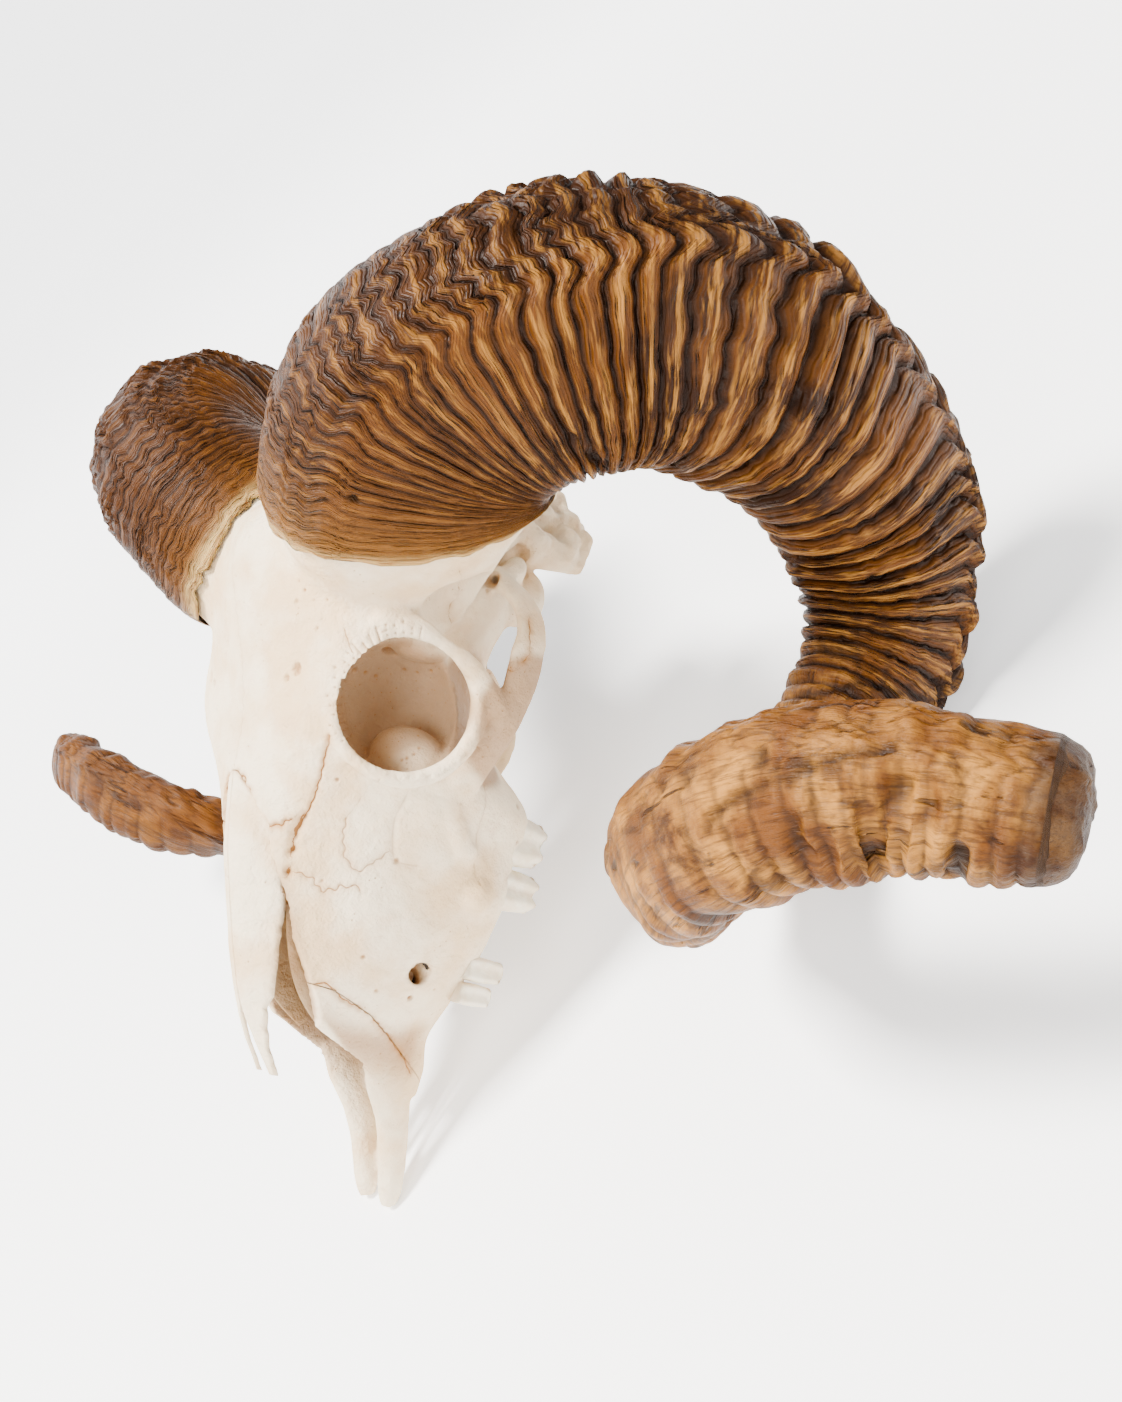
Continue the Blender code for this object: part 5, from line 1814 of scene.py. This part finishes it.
@dataclass
class ToothRow:
    """The teeth left in one side of the jaw."""

    side: Side
    # Middle along Y, length, height below the jaw and distance from the middle plane
    teeth: tuple = (
        (83.5, 8.0, 9.0, 25.5), (92.5, 9.0, 10.5, 27.5), (122.0, 15.0, 14.5, 31.5), (139.5, 18.0, 12.5, 32.5),
    )
    width: float = 10.0
    jaw_edge: float = 11.0

    def tooth(self, middle: float, length: float, height: float, away: float, seed: int) -> bpy.types.Object:
        """One tooth, folded into crescents and worn sharp.

        Args:
            middle: Its middle along Y.
            length: Its length.
            height: Its height below the jaw.
            away: Its distance from the middle plane.
            seed: Which pattern its wear follows.

        Returns:
            The closed form.
        """
        cusps = 2 if length > 12.0 else 1
        rings = []
        levels = 14
        count = 64
        for i in range(levels):
            u = i / (levels - 1)
            z = self.jaw_edge + 5.0 - (height + 5.0) * u
            ring = []
            for k in range(count):
                turn = 2.0 * math.pi * k / count
                c = math.cos(turn)
                s = math.sin(turn)
                y = math.copysign(abs(c) ** 0.6, c)
                x = math.copysign(abs(s) ** 0.7, s)
                fold = 0.16 * math.cos(math.pi * y * cusps) * (1.0 if x * self.side.value > 0 else 0.5)
                x = x * (1.0 - fold)
                taper = 0.90 + 0.10 * math.sin(math.pi * min(1.0, u * 1.2))
                point = [self.side.value * away + x * self.width / 2.0 * taper,
                         middle + y * length / 2.0 * taper, z]
                if i == levels - 1:
                    point[2] += 1.9 * (0.5 + 0.5 * math.cos(2.0 * math.pi * (y * 0.5 + 0.5) * cusps)) * (
                        1.0 if x * self.side.value > 0 else 0.4)
                ring.append(point)
            rings.append(ring)
        worn = np.array(rings[-1])
        inner = worn.copy()
        inner[:, :2] = worn[:, :2].mean(0) + (worn[:, :2] - worn[:, :2].mean(0)) * 0.72
        inner[:, 2] += 1.3
        rings.append(inner)
        deep = inner.copy()
        deep[:, :2] = worn[:, :2].mean(0) + (worn[:, :2] - worn[:, :2].mean(0)) * 0.3
        deep[:, 2] += 0.5
        rings.append(deep)
        made = loft("tooth", rings)
        points = points_of(made.data)
        points += normals_of(made.data) * (0.15 * value_noise(points, 1.8, seed))[:, None]
        set_points(made.data, points)
        return made

    def build(self, skull: SkullPlace, finish: bpy.types.Material) -> list[bpy.types.Object]:
        """Make the row, one piece for each tooth."""
        made = []
        for number, (middle, length, height, away) in enumerate(self.teeth):
            piece = self.tooth(middle, length, height, away, 60 + number)
            piece.name = "tooth_%s_%d" % (self.side.name.lower(), number + 1)
            made.append(hand_over(piece, skull, finish, "bone"))
        return made


@dataclass
class Scrolls:
    """The thin curled leaves of bone inside the nose."""

    thick: float = 0.5

    def build(self, skull: SkullPlace, finish: bpy.types.Material) -> list[bpy.types.Object]:
        """Make an upper and a lower leaf on each side, one piece for each side."""
        made = []
        for side in Side:
            x = side.value
            leaf = sweep("leaf", [(x * 9, 62, 52), (x * 12, 74, 62), (x * 14, 88, 70), (x * 14, 104, 76)],
                         [(self.thick, 2.0), (self.thick * 1.4, 6.0), (self.thick * 1.6, 8.0), (1.0, 8.0)],
                         (0, 0.35 * x, 1))
            low = sweep("low_leaf", [(x * 7, 58, 36), (x * 11, 72, 44), (x * 13, 90, 50), (x * 13, 106, 54)],
                        [(self.thick, 1.6), (self.thick * 1.4, 6.0), (1.0, 7.0), (1.0, 7.0)], (x * 0.4, 0, 1))
            piece = join_all("scroll_" + side.name.lower(), [leaf, low])
            made.append(hand_over(piece, skull, finish, "bone"))
        return made


@dataclass(frozen=True)
class Lamp:
    """A square soft light: where it stands, its edge in metres, its power and its colour."""

    name: str
    place: Point
    size: float
    watts: float
    colour: Point


@dataclass(frozen=True)
class Studio:
    """The floor and the soft lights."""

    reach: float = 6.0
    rise: float = 2.5
    surround: float = 0.50
    aim: Point = (0.0, 0.0, 0.12)
    lamps: tuple[Lamp, ...] = (
        Lamp("key_light", (-0.15, -0.45, 1.9), 0.55, 165.0, (1.0, 0.975, 0.94)),
        Lamp("fill_light", (1.5, 0.75, 0.9), 1.3, 8.0, (0.98, 0.99, 1.0)),
        Lamp("front_light", (0.9, -1.25, 1.2), 0.9, 42.0, (1.0, 0.98, 0.95)),
    )

    def floor(self, finish: bpy.types.Material) -> bpy.types.Object:
        """A floor that curves up behind the skull."""
        profile = [(3.0, 0.0), (-self.reach * 0.6, 0.0)]
        for k in range(1, 13):
            turn = math.pi / 2.0 * k / 12
            profile.append((-self.reach * 0.6 - self.rise * math.sin(turn),
                            self.rise * (1.0 - math.cos(turn))))
        profile.append((-self.reach * 0.6 - self.rise, self.reach))
        points = []
        for y in (-self.reach, self.reach):
            points += [(x, y, z) for x, z in profile]
        count = len(profile)
        faces = [(i, i + 1, count + i + 1, count + i) for i in range(count - 1)]
        made = mesh_object("studio_floor", np.array(points), faces)
        made.data.flip_normals()
        made.data.materials.append(finish)
        return made

    def light(self, lamp: Lamp) -> bpy.types.Object:
        """Set up a lamp and aim it at the skull."""
        data = bpy.data.lights.new(lamp.name, "AREA")
        data.shape = "SQUARE"
        data.size = lamp.size
        data.energy = lamp.watts
        data.color = lamp.colour
        made = put(lamp.name, data)
        made.location = lamp.place
        aim = Vector(self.aim) - Vector(lamp.place)
        made.rotation_mode = "QUATERNION"
        made.rotation_quaternion = aim.to_track_quat("-Z", "Y")
        return made

    def build(self, finish: bpy.types.Material) -> None:
        """Set up the floor, the lights and the pale surround."""
        self.floor(finish)
        for lamp in self.lamps:
            self.light(lamp)
        world = bpy.data.worlds.new("studio_surround")
        world.use_nodes = True
        background = world.node_tree.nodes["Background"]
        background.inputs["Color"].default_value = (1.0, 1.0, 1.0, 1.0)
        background.inputs["Strength"].default_value = self.surround
        bpy.context.scene.world = world


# Seams, cracks and furrows of the skull, by pixels of the photograph
SKULL_SEAMS = (
    Seam(((236, 540), (233, 587), (237, 615), (242, 655), (243, 705), (237, 747), (232, 777)),
         0.4, 0.22, 0.7, 0.10, False),
    Seam(((329, 736), (325, 755), (323, 765), (318, 785), (311, 804), (303, 820)), 0.6, 0.8, 0.3, 0.75),
    Seam(((304, 818), (296, 830), (292, 850), (288, 872), (286, 900)), 1.5, 2.2, 0.5, 0.85, True, 0.5),
    Seam(((238, 771), (247, 790), (254, 810), (265, 822), (278, 826), (289, 818)), 0.6, 0.7, 1.3, 0.9),
    Seam(((293, 871), (313, 879), (325, 891), (344, 885), (360, 891)), 0.45, 0.35, 1.1, 0.45),
    Seam(((346, 819), (344, 850), (356, 871), (372, 863), (388, 852)), 0.4, 0.3, 0.6, 0.35),
    Seam(((380, 780), (360, 800), (346, 819)), 0.35, 0.2, 0.3, 0.2),
    Seam(((485, 785), (485, 810), (476, 841), (474, 866), (481, 884)), 0.6, 0.35, 0.3, 0.15),
    Seam(((429, 776), (404, 801), (394, 823), (393, 850), (398, 862), (416, 866)), 1.2, 0.6, 0.0, 0.12),
    Seam(((316, 984), (330, 986), (344, 1000), (360, 1008), (379, 1025), (394, 1044), (404, 1060),
          (410, 1072)), 0.5, 0.5, 0.35, 0.85),
    Seam(((460, 572), (459, 588), (450, 605), (451, 620)), 0.4, 0.3, 0.4, 0.35),
    Seam(((530, 620), (530, 640), (525, 660), (510, 670), (490, 674)), 0.5, 0.4, 0.3, 0.8),
    Seam(((345, 630), (348, 642), (352, 652)), 0.35, 0.25, 0.2, 0.4, False),
    Seam(((340, 720), (334, 706), (338, 700)), 0.4, 0.3, 0.0, 0.2, False),
)

# Middle and reach of the eye socket in the photograph, and the furrows that ray out from its upper rim
SOCKET_PIXEL = (405.0, 703.0)
SOCKET_REACH_PX = (63.0, 66.0)
SOCKET_RAYS = tuple(
    Seam(tuple((SOCKET_PIXEL[0] + SOCKET_REACH_PX[0] * reach * math.cos(math.radians(turn)),
                SOCKET_PIXEL[1] + SOCKET_REACH_PX[1] * reach * math.sin(math.radians(turn)))
               for reach in (0.99, 1.06, 1.14 + 0.05 * (k % 3))),
         0.42, 0.75 - 0.15 * (k % 2), 0.0, 0.12)
    for k, turn in enumerate(range(150, 290, 7))
)

# Holes of the skull, by pixels of the photograph
SKULL_PITS = (
    Pit((414, 972), 3.6, 7.0, 1.0), Pit((389, 652), 2.3, 4.5, 1.0),
    Pit((355, 671), 1.0, 1.2, 0.9), Pit((366, 673), 0.7, 0.9, 0.8),
    Pit((376, 676), 0.7, 0.9, 0.8), Pit((404, 670), 0.8, 1.0, 0.7), Pit((417, 673), 0.6, 0.8, 0.7),
    Pit((431, 671), 0.7, 0.8, 0.6), Pit((419, 748), 0.5, 0.6, 0.9), Pit((414, 754), 0.5, 0.6, 0.9),
    Pit((407, 758), 0.6, 0.6, 0.9), Pit((402, 760), 0.5, 0.6, 0.9), Pit((420, 728), 0.4, 0.5, 0.8),
    Pit((418, 736), 0.4, 0.5, 0.8),
    Pit((296, 669), 1.9, 2.2, 0.35), Pit((286, 678), 1.2, 1.4, 0.35),
    Pit((305, 590), 0.6, 0.6, 0.7), Pit((297, 601), 0.8, 0.5, 0.5), Pit((299, 581), 0.45, 0.4, 0.6),
    Pit((314, 600), 0.45, 0.4, 0.6, False), Pit((327, 600), 0.45, 0.4, 0.6, False),
    Pit((317, 628), 0.7, 0.5, 0.5), Pit((249, 536), 0.6, 0.5, 0.7, False),
    Pit((379, 627), 0.45, 0.4, 0.5), Pit((386, 625), 0.45, 0.4, 0.5), Pit((384, 631), 0.4, 0.4, 0.5),
    Pit((490, 579), 3.0, 4.0, 0.95), Pit((523, 522), 2.0, 2.6, 0.8), Pit((488, 591), 1.0, 0.9, 0.6),
    Pit((410, 998), 1.0, 1.6, 0.95), Pit((363, 957), 0.8, 0.7, 0.7), Pit((376, 991), 0.7, 0.6, 0.7),
    Pit((397, 861), 1.1, 0.9, 0.5), Pit((322, 881), 0.6, 0.5, 0.6), Pit((337, 780), 0.7, 0.7, 0.8, False),
    Pit((434, 989), 0.5, 0.4, 0.7), Pit((517, 842), 0.7, 0.7, 0.8), Pit((517, 851), 0.6, 0.7, 0.8),
    Pit((515, 885), 0.7, 0.7, 0.7), Pit((510, 895), 0.6, 0.6, 0.7), Pit((518, 806), 1.1, 0.9, 0.6),
)

# Cracks and furrows of the left horn
HORN_SEAMS = (
    Seam(((574, 440), (585, 452), (600, 465), (624, 474)), 1.8, 2.4, 0.0, 0.8, False),
    Seam(((802, 696), (827, 692), (847, 687), (866, 684), (880, 688), (898, 695)), 0.7, 1.2, 0.4, 0.9, False),
    Seam(((787, 781), (813, 768), (833, 759), (853, 753), (880, 752), (893, 748)), 0.8, 1.4, 0.3, 0.8, False),
    Seam(((767, 783), (745, 794), (730, 801), (713, 817), (706, 828)), 0.9, 1.3, 0.4, 0.8, False),
    Seam(((903, 786), (886, 806), (878, 830), (877, 850), (877, 870)), 4.2, 4.6, 0.0, 0.45, False),
    Seam(((933, 803), (919, 822), (911, 838)), 3.6, 2.6, 0.0, 0.3, False),
    Seam(((793, 823), (797, 842), (810, 858)), 2.4, 2.2, 0.0, 0.35, False),
    Seam(((822, 800), (826, 830), (832, 862)), 3.0, 1.8, 0.0, 0.15, False),
    Seam(((856, 806), (858, 840), (860, 866)), 3.0, 1.8, 0.0, 0.15, False),
    Seam(((960, 853), (958, 870), (948, 882)), 2.0, 3.0, 0.0, 0.8, False),
    Seam(((831, 624), (843, 628), (841, 642)), 0.6, 0.8, 0.2, 0.8, False),
    Seam(((857, 622), (858, 650), (858, 682)), 0.5, 0.6, 0.3, 0.6, False),
    Seam(((885, 615), (889, 650), (886, 680)), 0.5, 0.6, 0.3, 0.5, False),
    Seam(((820, 640), (828, 650), (838, 640)), 0.5, 0.8, 0.2, 0.7, False),
)
HORN_PITS = (
    Pit((353, 500), 1.6, 2.2, 1.0, False), Pit((325, 500), 0.8, 0.8, 0.9, False),
    Pit((404, 511), 0.6, 0.6, 0.9, False), Pit((314, 494), 0.7, 0.7, 0.9, False),
    Pit((760, 758), 2.6, 1.0, 0.9, False), Pit((685, 780), 2.2, 0.9, 0.5, False),
)


def main() -> None:
    """Build every piece in order."""
    logging.basicConfig(level=logging.INFO, format="%(message)s")
    nose = NoseBones()
    skull = SkullPlace.under_node("nasal_left", nose.box_points())
    camera = StudioCamera()
    camera.build(skull)
    LOG.info("camera set")
    bone = BoneFinish().material("bleached_bone")
    nose_bone = BoneFinish(warmth=-0.04).material("nose_bone")
    # The scrolls inside the nose get a darker copy of the bone finish, as painted shade.
    scroll_bone = BoneFinish(white=(0.42, 0.28, 0.15), cream=(0.34, 0.20, 0.09)).material("scroll_bone")
    enamel = ToothFinish().material("worn_enamel")
    horn = HornFinish().material("ribbed_horn")
    forms = [HornForm(side) for side in Side]
    SkullBone().build(camera, skull, bone, nose, forms, SKULL_SEAMS + SOCKET_RAYS, SKULL_PITS)
    for side in Side:
        nose.build(side, skull, nose_bone)
        ToothRow(side).build(skull, enamel)
    Scrolls().build(skull, scroll_bone)
    Horn(forms[0]).build(camera, skull, horn, HORN_SEAMS, HORN_PITS)
    shade_and_wear = HornFinish(worn_dark=0.17, straw=(0.16, 0.060, 0.009)).material("weathered_horn")
    Horn(forms[1], seed=19).build(camera, skull, shade_and_wear, (), ())
    Studio().build(FloorFinish().material("studio_floor"))
    LOG.info("sizes written")


if __name__ == "__main__":
    main()
